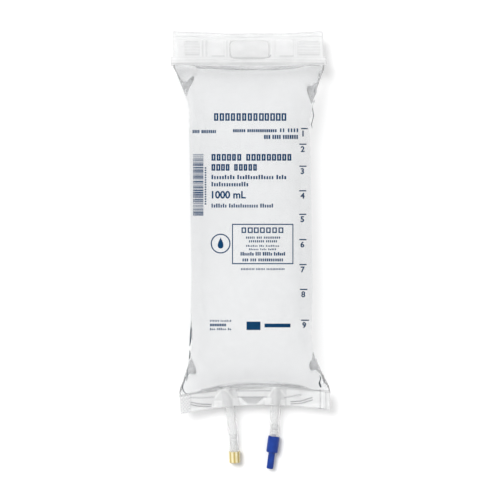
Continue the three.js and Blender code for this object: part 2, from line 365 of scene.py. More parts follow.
def tent(axis, x, y):
    """For points of the film: how far they lie from a port's axis in plan, the axis's height
    there, and how high over it a film pulled tight across the port stands."""
    ya = axis[::-1, 1]
    xa = np.interp(y, ya, axis[::-1, 0])
    za = np.interp(y, ya, axis[::-1, 2])
    d = np.abs(x - xa)
    r = PORT_R + 0.05
    on = d < r * r / TENT_D
    h = np.where(on, np.sqrt(np.maximum(r * r - d * d, 0)), np.maximum(TENT_D - d, 0) * r / math.sqrt(TENT_D ** 2 - r * r))
    return d, za, h


# the welds follow the ports' height near them
for axis in (MED_AXIS, ADM_AXIS):
    d, za, h = tent(axis, X[:, :, 0], X[:, :, 1])
    near = smooth_step(1 - d / 22.0)
    reach = smooth_step((V_A + 6 - V_ROWS) / 8.0)[:, None]
    mid_z = 0.5 * (X[:, :, 2] + X[:, PAIR, 2])
    X[:, :, 2] += (za - mid_z) * near * reach

N_ALL = area_vec(X)
length = np.linalg.norm(N_ALL, axis=-1, keepdims=True)
N_ALL = N_ALL / np.maximum(length, 1e-9)
weld_rows = (V_ROWS <= V_A + 1e-6) | (V_ROWS >= V_B - 1e-6)
for j in np.where(weld_rows)[0]:
    for k in (0, N_U):
        out = X[j, k] - X[j, 1 if k == 0 else N_U - 1]
        N_ALL[j, k] = out / np.linalg.norm(out)


# ------------------------------------------------------------------ sampling the solved film
FRONT = X[:, :N_U + 1]
BACK = X[:, PAIR[:N_U + 1]]
N_FRONT = N_ALL[:, :N_U + 1]


def cubic(t):
    return np.stack([-0.5 * t + t * t - 0.5 * t ** 3, 1 - 2.5 * t * t + 1.5 * t ** 3,
                     0.5 * t + 2 * t * t - 1.5 * t ** 3, -0.5 * t * t + 0.5 * t ** 3], -1)


def sample(G, u, v):
    """Smooth value of grid G at flat coordinates u (mm from the middle) and v (mm from the bottom edge)."""
    fi = np.clip((u + P["W"] / 2) / P["hu"], 0, N_U - 1e-6)
    fj = np.clip(v / P["hv"], 0, N_V - 1e-6)
    i0, j0 = np.floor(fi).astype(int), np.floor(fj).astype(int)
    wi, wj = cubic(fi - i0), cubic(fj - j0)
    out = 0
    for a in range(4):
        ja = np.clip(j0 + a - 1, 0, N_V)
        row = 0
        for b in range(4):
            ib = np.clip(i0 + b - 1, 0, N_U)
            row = row + G[ja, ib] * wi[..., b, None]
        out = out + row * wj[..., a, None]
    return out


def normal_at(G, u, v, h=0.4):
    du = sample(G, u + h, v) - sample(G, u - h, v)
    dv = sample(G, u, v + h) - sample(G, u, v - h)
    n = np.cross(du, dv)
    return n / np.maximum(np.linalg.norm(n, axis=-1, keepdims=True), 1e-9)


# ------------------------------------------------------------------ mesh helpers
def mesh_object(name, verts, faces, smooth=True, flip=False):
    """verts in mm, faces as an array of quads or a list of arrays."""
    me = bpy.data.meshes.new(name)
    faces = [f for f in (faces if isinstance(faces, list) else [faces]) if len(f)]
    loops = np.concatenate([(f[:, ::-1] if flip else f).reshape(-1) for f in faces])
    sizes = np.concatenate([np.full(len(f), f.shape[1]) for f in faces])
    verts = np.asarray(verts, float) * MM
    me.vertices.add(len(verts))
    me.vertices.foreach_set("co", verts.astype(np.float32).reshape(-1))
    me.loops.add(len(loops))
    me.loops.foreach_set("vertex_index", loops.astype(np.int32))
    me.polygons.add(len(sizes))
    me.polygons.foreach_set("loop_start", np.r_[0, np.cumsum(sizes)[:-1]].astype(np.int32))
    me.polygons.foreach_set("use_smooth", np.full(len(sizes), smooth))
    me.update(calc_edges=True)
    me.validate()
    o = bpy.data.objects.new(name, me)
    bpy.context.scene.collection.objects.link(o)
    return o


# The tone carries painted light and shade: highlights and shade lines on the pressed welds, shade at the slot flap's
# lower edge and in the injection site's grooves. On the chamber film it makes the film hazier next to the welds.
def set_tone(o, tone):
    """How light (over 0) or dark (under 0) the weld's surface looks, in steps of the photograph's grey."""
    a = o.data.attributes.new("tone", "FLOAT", "POINT")
    a.data.foreach_set("value", np.asarray(tone, np.float32))


def project(p):
    """Photograph pixel of points in mm."""
    k = PX * (CAM_Z - p[..., 2]) / (CAM_Z - Z_REF)
    return np.stack([250 + (p[..., 0] - CX) / k, 250 - (p[..., 1] - CY) / k], -1)


def stroke(px, py, points, width):
    """1 on a polyline, falling off over width (pixels)."""
    best = np.full(px.shape, 1e9)
    for (x0, y0), (x1, y1) in zip(points[:-1], points[1:]):
        dx, dy = x1 - x0, y1 - y0
        t = np.clip(((px - x0) * dx + (py - y0) * dy) / (dx * dx + dy * dy), 0, 1)
        best = np.minimum(best, np.hypot(px - x0 - t * dx, py - y0 - t * dy))
    return np.exp(-(best / width) ** 2)


def patch(px, py, x0, y0, x1, y1, soft=0.8):
    return box_edge(px, x0, x1, soft) * box_edge(py, y0, y1, soft)


def grid_faces(rows, cols, start=0, wrap=False):
    j, i = np.meshgrid(np.arange(rows - 1), np.arange(cols if wrap else cols - 1), indexing="ij")
    a = start + j * cols + i
    b = start + j * cols + (i + 1) % cols
    c = start + (j + 1) * cols + (i + 1) % cols
    d = start + (j + 1) * cols + i
    return np.stack([a, b, c, d], -1).reshape(-1, 4)


def plate(name, top, under):
    """A closed plate between two equal grids of points."""
    rows, cols = top.shape[:2]
    n = rows * cols
    verts = np.concatenate([top.reshape(-1, 3), under.reshape(-1, 3)])
    f = [grid_faces(rows, cols), grid_faces(rows, cols, n)[:, ::-1]]
    ring = np.concatenate([np.arange(cols), np.arange(1, rows) * cols + cols - 1,
                           (rows - 1) * cols + np.arange(cols - 2, -1, -1), np.arange(rows - 2, 0, -1) * cols])
    nxt = np.roll(ring, -1)
    f.append(np.stack([nxt, ring, ring + n, nxt + n], -1))
    return verts, f


# ------------------------------------------------------------------ chamber film and liquid
ja = int(np.where(V_ROWS <= V_A + 1e-6)[0].max())
jb = int(np.where(V_ROWS >= V_B - 1e-6)[0].min())
inner = X[ja:jb + 1].copy()
nrm = N_ALL[ja:jb + 1]
front = np.arange(2 * N_U) <= N_U
# the film stands in a tent over the inner end of each port
for axis in (MED_AXIS, ADM_AXIS):
    d, za, h = tent(axis, inner[:, :, 0], inner[:, :, 1])
    fade = smooth_step(1 - (V_ROWS[ja:jb + 1] - V_A) / 9.0)[:, None]
    up = np.where(front[None, :], 1.0, -1.0)
    gap = (inner[:, :, 2] - za) * up
    want = h * fade
    more = np.where((h > 0) & (fade > 0), np.maximum(want - gap, 0), 0)
    inner[:, :, 2] += more * up
inner[:, :, 2] = np.maximum(inner[:, :, 2], 0.02)
outer = inner + nrm * FILM
outer[:, :, 2] = np.maximum(outer[:, :, 2], -0.38)
inner[:, :, 2] += 0.38
outer[:, :, 2] += 0.38
rows = jb - ja + 1
nc = 2 * N_U
verts = np.concatenate([outer.reshape(-1, 3), inner.reshape(-1, 3)])
base = rows * nc
faces = [grid_faces(rows, nc, 0, True), grid_faces(rows, nc, base, True)[:, ::-1]]
k = np.arange(nc)
k1 = (k + 1) % nc
faces.append(np.stack([k1, k, base + k, base + k1], -1))
last = (rows - 1) * nc
faces.append(np.stack([last + k, last + k1, base + last + k1, base + last + k], -1))
film = mesh_object("chamber_film", verts, faces)
near_weld = 22 * np.exp(-((V_ROWS[ja:jb + 1] - V_A) / 4.5) ** 2) + 22 * np.exp(-((V_B - V_ROWS[ja:jb + 1]) / 4.5) ** 2)
set_tone(film, np.tile(np.repeat(near_weld, nc), 2))
film_inside = np.concatenate([np.full(len(f), i == 1) for i, f in enumerate(faces)])

water = inner + nrm * 0.06
water = water[1:-1]
wr_ = rows - 2
faces = [grid_faces(wr_, nc, 0, True)]
i = np.arange(N_U)
for off, turn in ((0, 1), ((wr_ - 1) * nc, -1)):
    cap = np.stack([off + (i + 1), off + i, off + PAIR[i], off + PAIR[i + 1]], -1)
    faces.append(cap[:, ::turn])
liquid = mesh_object("liquid", water.reshape(-1, 3), faces)

# ------------------------------------------------------------------ header
HEAD_X = (0.5 * LEAN * 0, 0)
SLOT_X, SLOT_V, SLOT_W, SLOT_H, SLOT_R = 1.1, V_B + 14.4, 34.0, 15.4, 4.2


def box_edge(x, a, b, soft):
    """1 between a and b, falling to 0 over soft on each side."""
    return smooth_step((x - a) / soft + 0.5) * smooth_step((b - x) / soft + 0.5)


def bar(x, centre, width):
    return np.exp(-((x - centre) / (0.5 * width)) ** 2)


def header_painted_light(x, y):
    """Painted light and shade for the header's pressed pattern, in pixels of the photograph: painted highlights on the
    rim, the panels and the bars, painted shade in the lines.
    """
    sag = 1 - ((x - 250) / 75) ** 2
    edge = 31.7 + 2.5 * sag                                  # the rim's upper edge
    line = 36.4 + 0.8 * sag
    # Painted shade on the rim's upper edge and on the line below it; painted highlights along the rim between them.
    t = -9 * np.exp(-((y - edge - 0.5) / 0.6) ** 2)
    t -= 13 * np.exp(-((y - line) / 0.65) ** 2) * (0.55 + 0.45 * np.cos((x - 250) * 0.105))
    mid = 0.5 * (edge + line)
    for c, w, a in ((182, 5, 12), (206, 14, 12), (219, 7, 10), (250, 5.5, 15), (287, 9, 12), (276, 6, 6), (321, 4, 12), (301, 6, 6)):
        t += a * np.exp(-((x - c) / w) ** 2) * np.exp(-((y - mid - 0.2) / 1.1) ** 2)
    t += 5 * np.exp(-((y - line - 2.6) / 1.2) ** 2)
    for x0, x1 in ((184.5, 200.2), (297.5, 320.5)):          # outer panels
        # A little darker overall, with painted shade at the top and along the bottom of each panel.
        t -= 2.5 * patch(x, y, x0, 41, x1, 55)
        t -= 6 * patch(x, y, x0 + 1, 41.0, x1 - 2, 42.8, 0.8)
        t -= 9 * stroke(x, y, [(x0 + 1.5, 54.9), (x1 - 1.5, 54.9)], 0.7)
        t += 2.2 * patch(x, y, x0, 42, x1, 54) * np.sin(y * 2.1 + 0.3 * np.sin(x * 0.4))
    for x0, x1 in ((208.2, 223.6), (276.0, 292.6)):          # inner panels, painted the lightest: a painted highlight
        t += 7 * patch(x, y, x0, 40.5, x1, 55.6, 1.4)
        t += 5 * np.exp(-((x - 0.5 * (x0 + x1)) / 6) ** 2 - ((y - 50) / 4) ** 2)
        t += 6 * stroke(x, y, [(x0 + 1, 40.4), (x1 - 1, 40.4)], 0.7)
        t -= 11 * stroke(x, y, [(x0 + 4, 56.3), (x1 + 0.5, 56.3)], 0.65)
    # Painted highlight and painted shade side by side on the bars between the panels.
    for c, a in ((200.9, 7), (202.6, -6), (204.5, 6), (206.2, -6), (225.3, 9), (227.2, -5), (229.0, 8), (230.6, -7),
                 (271.4, 7), (273.2, 5), (294.6, 6), (296.6, 6), (176.8, 7), (323.6, 9), (321.2, 6)):
        t += a * np.exp(-((x - c) / 0.75) ** 2) * box_edge(y, 40.5, 57, 1.5)
    # Painted shade along the slot's lower edge.
    t -= 20 * stroke(x, y, [(231.0, 55.4), (232.2, 57.2), (235, 57.5), (266, 57.5), (269.4, 57.2), (270.8, 55.6)], 0.75)
    # Painted highlights and painted shade on the ridges of the lower strip.
    for yy, a in ((58.8, 10), (60.2, -3), (61.4, 6), (63.2, -9), (64.6, -7)):   # ridges of the lower strip
        t += a * np.exp(-((y - yy - 0.5 * (1 - sag)) / 0.7) ** 2) * (0.75 + 0.25 * np.cos((x - 250) * 0.09))
    # Painted highlights at the two ends of the lower strip.
    t += 8 * np.exp(-((x - 326) / 2.2) ** 2) * box_edge(y, 57.5, 65, 1.5)
    t += 5 * np.exp(-((x - 174.5) / 2.2) ** 2) * box_edge(y, 57.5, 65, 1.5)
    return t


def header_relief(u, v, x, y):
    """How far the header's faces stand out of a plain plate, mm."""
    sag = 1 - ((x - 250) / 75) ** 2
    e = 0.10 * box_edge(y, 57.4, 65.5, 0.8) + 0.16 * (np.exp(-((y - 58.9) / 0.8) ** 2) + np.exp(-((y - 61.6) / 0.8) ** 2))
    rim = 34.0 + 1.4 * sag
    e += 0.34 * np.exp(-((y - rim) / (2.0 - 0.6 * sag)) ** 2)
    e += 0.10 * np.exp(-((y - 38.9) / 1.0) ** 2)
    frame_up = np.ones_like(u)
    for x0, x1 in ((184.5, 200.2), (208.2, 223.6), (231.0, 271.0), (276.0, 292.6), (297.5, 320.5)):
        frame_up -= patch(x, y, x0, 41, x1, 56.5, 0.9)
    e += 0.22 * np.clip(frame_up, 0, 1) * box_edge(y, 40, 57.5, 0.8)
    for c in (200.9, 204.5, 225.3, 229.0, 271.4, 294.6, 176.8, 323.6):
        e += 0.16 * np.exp(-((x - c) / 0.7) ** 2) * box_edge(y, 41, 57, 1.2)
    for x0, x1 in ((184.5, 200.2), (297.5, 320.5)):
        e += 0.04 * patch(x, y, x0, 42, x1, 54) * np.sin(y * 2.1 + 0.3 * np.sin(x * 0.4))
    e += 0.07 * np.sin(x * 0.31 + 0.6 * y) * np.sin(y * 0.9 - 0.08 * x) * box_edge(y, 30, 40, 2)
    return e


def slot_distance(u, v):
    qx = np.abs(u - SLOT_X) - (SLOT_W / 2 - SLOT_R)
    qy = np.abs(v - SLOT_V) - (SLOT_H / 2 - SLOT_R)
    return np.hypot(np.maximum(qx, 0), np.maximum(qy, 0)) + np.minimum(np.maximum(qx, qy), 0) - SLOT_R


def header_plate():
    cols, rws = 290, 104
    u = np.linspace(-P["W"] / 2, P["W"] / 2, cols)
    v = np.linspace(V_B - 0.6, P["L"], rws)
    U, V = np.meshgrid(u, v)
    cell = max(u[1] - u[0], v[1] - v[0])
    # grid points next to the slot's outline move onto it
    d = slot_distance(U, V)
    for _ in range(3):
        gx = (slot_distance(U + 0.02, V) - slot_distance(U - 0.02, V)) / 0.04
        gy = (slot_distance(U, V + 0.02) - slot_distance(U, V - 0.02)) / 0.04
        m = np.abs(d) < cell * 0.55
        U = np.where(m, U - slot_distance(U, V) * gx, U)
        V = np.where(m, V - slot_distance(U, V) * gy, V)
    # the plate widens a little at its lower weld strip
    mid = sample(FRONT, U, V)
    n = normal_at(FRONT, U, V)
    w = V - V_B
    side = U / (P["W"] / 2)
    flare = 2.2 * np.sign(side) * np.abs(side) ** 14 * box_edge(w, -3, 6.4, 1.2)
    mid = mid.copy()
    mid[..., 0] += flare
    mid[..., 1] += 0.25 * np.sin(U * 0.13 + 0.7) * smooth_step((w - 24) / 6)
    pix = project(mid)
    e = header_relief(U, V, pix[..., 0], pix[..., 1])
    tone = header_painted_light(pix[..., 0], pix[..., 1])
    edge = np.sqrt(np.clip((P["W"] / 2 - np.abs(U)) / 0.8, 0.02, 1)) * np.sqrt(np.clip((P["L"] - V) / 0.8, 0.02, 1))
    top = mid + n * ((0.34 + e) * edge)[..., None]
    under = mid - n * ((0.34 + 0.7 * e) * edge)[..., None]
    lift = 0.38
    top[..., 2] += lift
    under[..., 2] += lift
    hole = slot_distance(U, V) < 1e-3
    inside = slot_distance(0.25 * (U[:-1, :-1] + U[1:, :-1] + U[:-1, 1:] + U[1:, 1:]),
                           0.25 * (V[:-1, :-1] + V[1:, :-1] + V[:-1, 1:] + V[1:, 1:])) < -0.02
    n_all = rws * cols
    vt = np.concatenate([top.reshape(-1, 3), under.reshape(-1, 3)])
    keep = ~inside
    quads = grid_faces(rws, cols).reshape(rws - 1, cols - 1, 4)
    f = [quads[keep], quads[keep][:, ::-1] + n_all]
    # walls: every edge that only one kept quad uses
    q = quads[keep]
    e_all = np.concatenate([q[:, [0, 1]], q[:, [1, 2]], q[:, [2, 3]], q[:, [3, 0]]])
    key = np.sort(e_all, 1)
    uniq, idx, cnt = np.unique(key[:, 0] * (n_all + 1) + key[:, 1], return_index=True, return_counts=True)
    rim = e_all[idx[cnt == 1]]
    f.append(np.stack([rim[:, 1], rim[:, 0], rim[:, 0] + n_all, rim[:, 1] + n_all], -1))
    used = np.zeros(2 * n_all, bool)
    for a in f:
        used[a.reshape(-1)] = True
    new = np.cumsum(used) - 1
    return vt[used], [new[a] for a in f], np.concatenate([tone.reshape(-1), 0.3 * tone.reshape(-1)])[used]


vt, fc, tn = header_plate()
header = mesh_object("header_weld", vt, fc)
set_tone(header, tn)


def slot_flap():
    """The film cut free on three sides of the slot: it hinges on the upper edge and hangs a little low."""
    rws, cols = 40, 90
    t = np.linspace(1, 0, rws)                                 # 0 at the hinge
    top_v = SLOT_V + SLOT_H / 2
    v = top_v - 0.04 - t * (SLOT_H - 0.5)
    dy = np.maximum(np.maximum((SLOT_V - SLOT_H / 2 + SLOT_R) - v, v - (top_v - SLOT_R)), 0)
    half = SLOT_W / 2 - 0.35 - (SLOT_R - np.sqrt(np.maximum(SLOT_R ** 2 - dy ** 2, 0)))
    a = np.linspace(-1, 1, cols)
    U = SLOT_X + half[:, None] * a[None, :]
    V = np.repeat(v[:, None], cols, 1)
    mid = sample(FRONT, U, V)
    n = normal_at(FRONT, U, V)
    mid[..., 2] -= (1.3 * t ** 2)[:, None] + 0.25 * np.sin(2.2 * a + 0.4)[None, :] * t[:, None]
    pix = project(mid)
    # A slightly lighter band and faint streaks across the flap, and painted shade along its free lower edge.
    tone = 3 * np.exp(-((pix[..., 1] - 48) / 5) ** 2) + 2.5 * np.sin(pix[..., 0] * 0.23) * np.sin(pix[..., 1] * 0.5)
    tone = tone - 5 * (1 - smooth_step((SLOT_H - 0.5) * (1 - t) / 1.6))[:, None]
    edge = np.sqrt(np.clip((1 - np.abs(a)) * SLOT_W / 2 / 0.6, 0.05, 1))[None, :] * np.sqrt(np.clip((1 - t) * SLOT_H / 0.6, 0.05, 1))[:, None]
    top = mid + n * (0.34 * edge)[..., None]
    under = mid - n * (0.30 * edge)[..., None]
    top[..., 2] += 0.38
    under[..., 2] += 0.38
    verts_, faces_ = plate("flap", top, under)
    return verts_, faces_, np.concatenate([tone.reshape(-1), 0.3 * tone.reshape(-1)])


vt, fc, tn = slot_flap()
flap = mesh_object("slot_flap", vt, fc)
set_tone(flap, tn)

# ------------------------------------------------------------------ bottom weld, two layers parted by the ports
BEND = Y_LOW


LEFT_LINES = ([(191.2, 402.0), (197, 403.4), (203, 404.1), (211, 404.2)], [(191.2, 404.4), (197, 405.7), (204, 406.3), (211, 406.2)])
RIGHT_LINES = ([(291, 403.6), (301, 403.2), (312.2, 399.8)], [(291, 401.4), (301, 400.8), (312.0, 397.5)])
LOWER_LINES = ([(191.5, 412.6), (205, 410.9), (219.5, 408.5)], [(285, 407.0), (305, 407.9), (323.5, 408.6)])
PADS = ((213.8, 400.6, 221.8, 407.2), (233.0, 397.6, 238.8, 405.2), (264.6, 397.6, 271.4, 405.2), (281.0, 399.4, 285.6, 405.6))
TENTS = ([(215.5, 397.0), (220.5, 390.6), (224.0, 389.2), (227.5, 390.6), (232.5, 398.0)],
         [(269.0, 395.0), (273.0, 388.5), (276.7, 384.8), (280.5, 389.0), (286.0, 396.5)])


def flange_painted_light(x, y):
    # Painted light and shade for the bottom weld: its pressed lines, its edges and the film's tents over the ports. The
    # pads are lighter, hazier weld.
    t = np.zeros_like(x)
    # Painted shade along the pressed lines and the lower edge.
    for pts in LEFT_LINES:
        t -= 34 * stroke(x, y, pts, 0.5)
    for pts in RIGHT_LINES:
        t -= 32 * stroke(x, y, pts, 0.5)
    for pts in LOWER_LINES:
        t -= 30 * stroke(x, y, pts, 0.6)
    # Painted highlights beside the lower lines.
    t += 8 * stroke(x, y, [(191, 409), (205, 408.4), (215, 406.5)], 1.6) + 7 * stroke(x, y, [(288, 405.6), (303, 405.6), (322, 404.0)], 1.6)
    for x0, y0, x1, y1 in PADS:
        t += 12 * patch(x, y, x0, y0, x1, y1, 1.4)
    # Painted highlights on the weld on each side of the middle.
    t += 10 * stroke(x, y, [(239.0, 398.0), (241.5, 401.5), (246.0, 404.6)], 1.3) + 10 * stroke(x, y, [(265.0, 398.0), (262.0, 401.5), (257.5, 404.6)], 1.3)
    # Painted shadow: the dark patch between the ports is the shadow on the table, seen through the weld.
    mid = smooth_step((y - 396.3) / 1.0) * smooth_step((404.6 - y) / 1.4)
    wide = 12.6 - 1.05 * np.clip(y - 397.0, 0, 8)
    t -= 14 * mid * smooth_step((wide - np.abs(x - 252.2)) / 1.6) * (1 - 0.35 * smooth_step((y - 400) / 4))
    # Painted shade lines along the chamber's lower end.
    t -= 16 * stroke(x, y, [(238.0, 396.8), (266.5, 396.8)], 0.7)
    t -= 18 * stroke(x, y, [(236.5, 390.8), (253, 390.5), (270, 390.6)], 0.75)
    t -= 16 * stroke(x, y, [(191, 397.4), (199, 397.7), (208, 397.3), (214, 396.9)], 0.8)
    t -= 14 * stroke(x, y, [(301, 394.4), (290, 396.4), (285, 397.2)], 0.8)
    # Painted highlight and painted shade on the short upright lines at both ends.
    for c, a in ((320.4, -14), (322.2, 8), (325.9, -12), (190.6, -8)):
        t += a * np.exp(-((x - c) / 0.7) ** 2)
    # The knurled block at the left: painted light and shade of its dots.
    dots = box_edge(x, 181.0, 190.0, 1.0)
    t += dots * (-3 + 15 * np.sin((x - 181) * 2.1) * np.sin((y - 397) * 1.75) + 5 * np.sin(y * 3.1 + x))
    # Painted highlights along the film's tents over the ports.
    for pts in TENTS:
        t += 9 * stroke(x, y, pts, 0.9)
    return t


def flange_relief(x, y):
    e = np.zeros_like(x)
    for pts in LEFT_LINES + RIGHT_LINES:
        e += 0.40 * stroke(x, y, pts, 0.55)
    for pts in LOWER_LINES:
        e += 0.32 * stroke(x, y, pts, 1.0)
    for x0, y0, x1, y1 in PADS:
        e += 0.30 * patch(x, y, x0, y0, x1, y1, 1.3)
    e += 0.25 * stroke(x, y, [(238.0, 396.6), (266.5, 396.6)], 0.8)
    e += 0.22 * (np.exp(-((x - 320.4) / 0.8) ** 2) + np.exp(-((x - 325.4) / 0.9) ** 2))
    e += box_edge(x, 181.0, 190.0, 1.0) * (0.12 + 0.16 * np.sin((x - 181) * 2.1) * np.sin((y - 397) * 1.75))
    e += 0.05 * np.sin(x * 0.53 + 0.4 * y) * np.sin(y * 0.8 - 0.11 * x)
    return e


def flange_layers():
    cols, rws = 300, 56
    u = np.linspace(-P["W"] / 2, P["W"] / 2, cols)
    v = np.linspace(0, V_A + 0.5, rws)
    U, V = np.meshgrid(u, v)
    mid = sample(FRONT, U, V)
    n = normal_at(FRONT, U, V)
    n = np.where(n[..., 2:3] < 0, -n, n)
    pix = project(mid)
    e = flange_relief(pix[..., 0], pix[..., 1])
    tone = flange_painted_light(pix[..., 0], pix[..., 1])
    lift = np.zeros(U.shape)
    clear_up = np.zeros(U.shape)
    for axis in (MED_AXIS, ADM_AXIS):
        d, za, h = tent(axis, mid[..., 0], mid[..., 1])
        near = smooth_step(1 - d / 22.0)
        mid[..., 2] += (za - mid[..., 2]) * near
        lift = np.maximum(lift, h)
        clear_up = np.maximum(clear_up, smooth_step((5.2 - d) / 1.2))
    tone = tone - 3 * clear_up * (tone > -8)
    edge = np.sqrt(np.clip((P["W"] / 2 - np.abs(U)) / 0.7, 0.02, 1)) * np.sqrt(np.clip(V / 0.7, 0.02, 1))
    base_up = mid + n * 0.0
    out_v, out_f, out_t, start = [], [], [], 0
    for sgn in (1, -1):
        near_ = base_up.copy()
        near_[..., 2] += sgn * lift
        a = near_ + n * (sgn * 0.008)
        b = near_ + n * (sgn * (0.02 + (FILM * 0.9 + (e if sgn > 0 else 0.7 * e)) * edge))[..., None]
        vt_, fc_ = plate("x", b if sgn > 0 else a, a if sgn > 0 else b)
        vt_[:, 2] += 0.38
        out_v.append(vt_)
        out_f += [f + start for f in fc_]
        out_t += [tone.reshape(-1) * (1.0 if sgn > 0 else 0.3)] * 2
        start += len(vt_)
    return np.concatenate(out_v), out_f, np.concatenate(out_t)


vt, fc, tn = flange_layers()
flange = mesh_object("bottom_weld", vt, fc)
set_tone(flange, tn)


# ------------------------------------------------------------------ swept and turned pieces
def frames(path):
    t = np.gradient(path, axis=0)
    t /= np.linalg.norm(t, axis=1, keepdims=True)
    up = np.array([0.0, 0.0, 1.0])
    a = np.cross(t, up)
    a /= np.linalg.norm(a, axis=1, keepdims=True)
    b = np.cross(a, t)
    return t, a, b


def ring_sweep(path, radii, sides=64, squash=None):
    """A closed surface of rings along a path: radii is a list of (position along the path 0..1, radius)
    that runs out along the outside and back along the inside, so it also makes hollow tubes."""
    t, a, b = frames(path)
    m = len(path) - 1
    th = np.linspace(0, 2 * math.pi, sides, endpoint=False)
    rings = []
    for q, r in radii:
        f = np.clip(q, 0, 1) * m
        i = min(int(f), m - 1)
        g = f - i
        c = path[i] * (1 - g) + path[i + 1] * g
        ex = q - np.clip(q, 0, 1)
        A = a[i] * (1 - g) + a[i + 1] * g
        B = b[i] * (1 - g) + b[i + 1] * g
        rr = r if np.ndim(r) else np.full(sides, float(r))
        rings.append(c + (np.cos(th) * rr)[:, None] * A + (np.sin(th) * rr)[:, None] * B)
    return np.array(rings)


def tube(name, path, r_out, r_in, sides=64, lip=0.25, inner_len=None):
    m = len(path)
    qs = np.linspace(0, 1, m)
    total = np.linalg.norm(np.diff(path, axis=0), axis=1).sum()
    e = lip / total
    outer_run = [(0, r_out - lip), (e, r_out)] + [(q, r_out) for q in qs[1:-1]] + [(1 - e, r_out), (1, r_out - lip)]
    inner_run = [(1, r_in + 0.05), (1 - e, r_in)] + [(q, r_in) for q in qs[-2:0:-1]] + [(e, r_in), (0, r_in + 0.05)]
    R = ring_sweep(path, outer_run + inner_run, sides)
    rows = len(R)
    f = grid_faces(rows, sides, 0, True)
    k = np.arange(sides)
    close = np.stack([(rows - 1) * sides + k, (rows - 1) * sides + (k + 1) % sides, (k + 1) % sides, k], -1)
    return mesh_object(name, R.reshape(-1, 3), [f, close], flip=True)


def turned(name, start, direction, profile, sides=96, shape=None):
    """A solid of revolution along a direction: profile is (distance along, radius), closed on the axis
    at both ends. shape(along, angle, radius) may change the radius."""
    d = np.array(direction, float)
    d /= np.linalg.norm(d)
    a = np.cross(d, (0, 0, 1.0))
    a /= np.linalg.norm(a)
    b = np.cross(a, d)
    th = np.linspace(0, 2 * math.pi, sides, endpoint=False)
    prof = np.array(profile, float)
    ring_rows = prof[(prof[:, 1] > 1e-9)]
    head, tail = prof[0], prof[-1]
    pts = []
    for z, r in ring_rows:
        rr = np.full(sides, r)
        if shape is not None:
            rr = shape(z, th, rr)
        pts.append(np.array(start) + z * d + (np.cos(th) * rr)[:, None] * a + (np.sin(th) * rr)[:, None] * b)
    pts = np.array(pts)
    n = len(pts)
    verts = [pts.reshape(-1, 3)]
    f = [grid_faces(n, sides, 0, True)]
    k = np.arange(sides)
    ends = []
    for row, at, turn in ((0, head, 1), (n - 1, tail, -1)):
        verts.append((np.array(start) + at[0] * d)[None])
        c = n * sides + len(ends)
        ends.append(c)
        tri = np.stack([row * sides + (k + 1) % sides, row * sides + k, np.full(sides, c)], -1)
        f.append(tri[:, ::turn])
    return mesh_object(name, np.concatenate(verts), f, flip=True)


med_tube = tube("medication_port_tube_fine", axis_part(MED_AXIS, -114.6, -177.4, 40), PORT_R, 3.3)
med_mem = tube("medication_membrane_tube_fine", axis_part(MED_AXIS, -158.0, -176.6, 16), 3.0, 2.2, 48, 0.2)
adm_tube = tube("administration_port_tube_fine", axis_part(ADM_AXIS, -114.6, -169.6, 40), PORT_R, 3.3)
adm_mem = tube("administration_membrane_tube_fine", axis_part(ADM_AXIS, -149.6, -168.8, 16), 3.0, 2.2, 48, 0.2)


def disc(name, axis, y, r):
    """The membrane across an inner tube, slightly domed."""
    p = axis_part(axis, y + 0.4, y - 0.4, 3)
    d = p[2] - p[0]
    return turned(name, p[0], d, [(0.25, 0), (0.0, r * 0.5), (0.0, r), (0.8, r), (0.8, r * 0.5), (0.55, 0)], 48)


med_disc = disc("medication_membrane", MED_AXIS, -161.0, 2.2)
adm_disc = disc("administration_membrane", ADM_AXIS, -153.0, 2.2)

# injection site: ribbed rubber cup
site_from = axis_part(MED_AXIS, -172.6, -173.0, 3)[0]
site_to = np.array([-13.05 + CX, -182.6 + CY, 5.1])


def ribs(z, th, r):
    deep = smooth_step((z - 0.8) / 0.5) * smooth_step((8.9 - z) / 0.5)
    groove = (0.5 + 0.5 * np.cos(8 * th + math.pi)) ** 0.6          # eight broad ribs, finely knurled
    return r - np.where(r > 4.75, deep * (0.34 * (1 - groove) + 0.04 * (0.5 - 0.5 * np.cos(48 * th))), 0)


site_profile = ([(5.6, 0), (5.6, 4.2), (5.5, 4.42), (0.2, 4.45), (0.0, 4.55), (0.0, 4.72), (0.25, 4.9), (0.6, 5.0)]
                + [(z, 5.0) for z in np.linspace(0.9, 8.5, 20)]
                + [(8.8, 4.98), (9.2, 4.85), (9.55, 4.6), (9.8, 4.2), (9.95, 3.6), (10.0, 3.2), (9.9, 2.85), (9.65, 2.6),
                   (9.6, 1.6), (9.62, 0)])
site = turned("injection_site_fine", site_from, site_to - site_from, site_profile, 180, ribs)
th = np.linspace(0, 2 * math.pi, 180, endpoint=False)
rows_ = sum(1 for z_, r_ in site_profile if r_ > 1e-9)
prof_ = [(z_, r_) for z_, r_ in site_profile if r_ > 1e-9]
# Painted shade in the grooves between the ribs; the rounded end is also made a little darker.
tn = np.array([[(0.5 - 0.5 * math.cos(8 * t_ + math.pi)) ** 1.3 * (1.0 if r_ > 4.75 else 0.0) + (0.35 if z_ > 9.3 else 0.0) for t_ in th] for z_, r_ in prof_])
set_tone(site, np.r_[tn.reshape(-1), 0.0, 0.3])

# protector: sleeve and stem
pro_from = np.array([20.64 + CX, -159.6 + CY, 5.15])
pro_dir = np.array([-1.05, -8.0, 0.0])


def grip(z, th, r):
    s = smooth_step((z - 15.6) / 1.2)
    flat = 1 - 0.22 * s * np.abs(np.sin(th)) ** 2          # the stem is a little flattened
    ribs_ = 0.10 * smooth_step((z - 16.5) / 0.8) * smooth_step((27.0 - z) / 0.8) * (0.5 + 0.5 * np.cos((z - 17) * 2 * math.pi / 1.7))
    return r * flat + ribs_ * (r > 2.3)


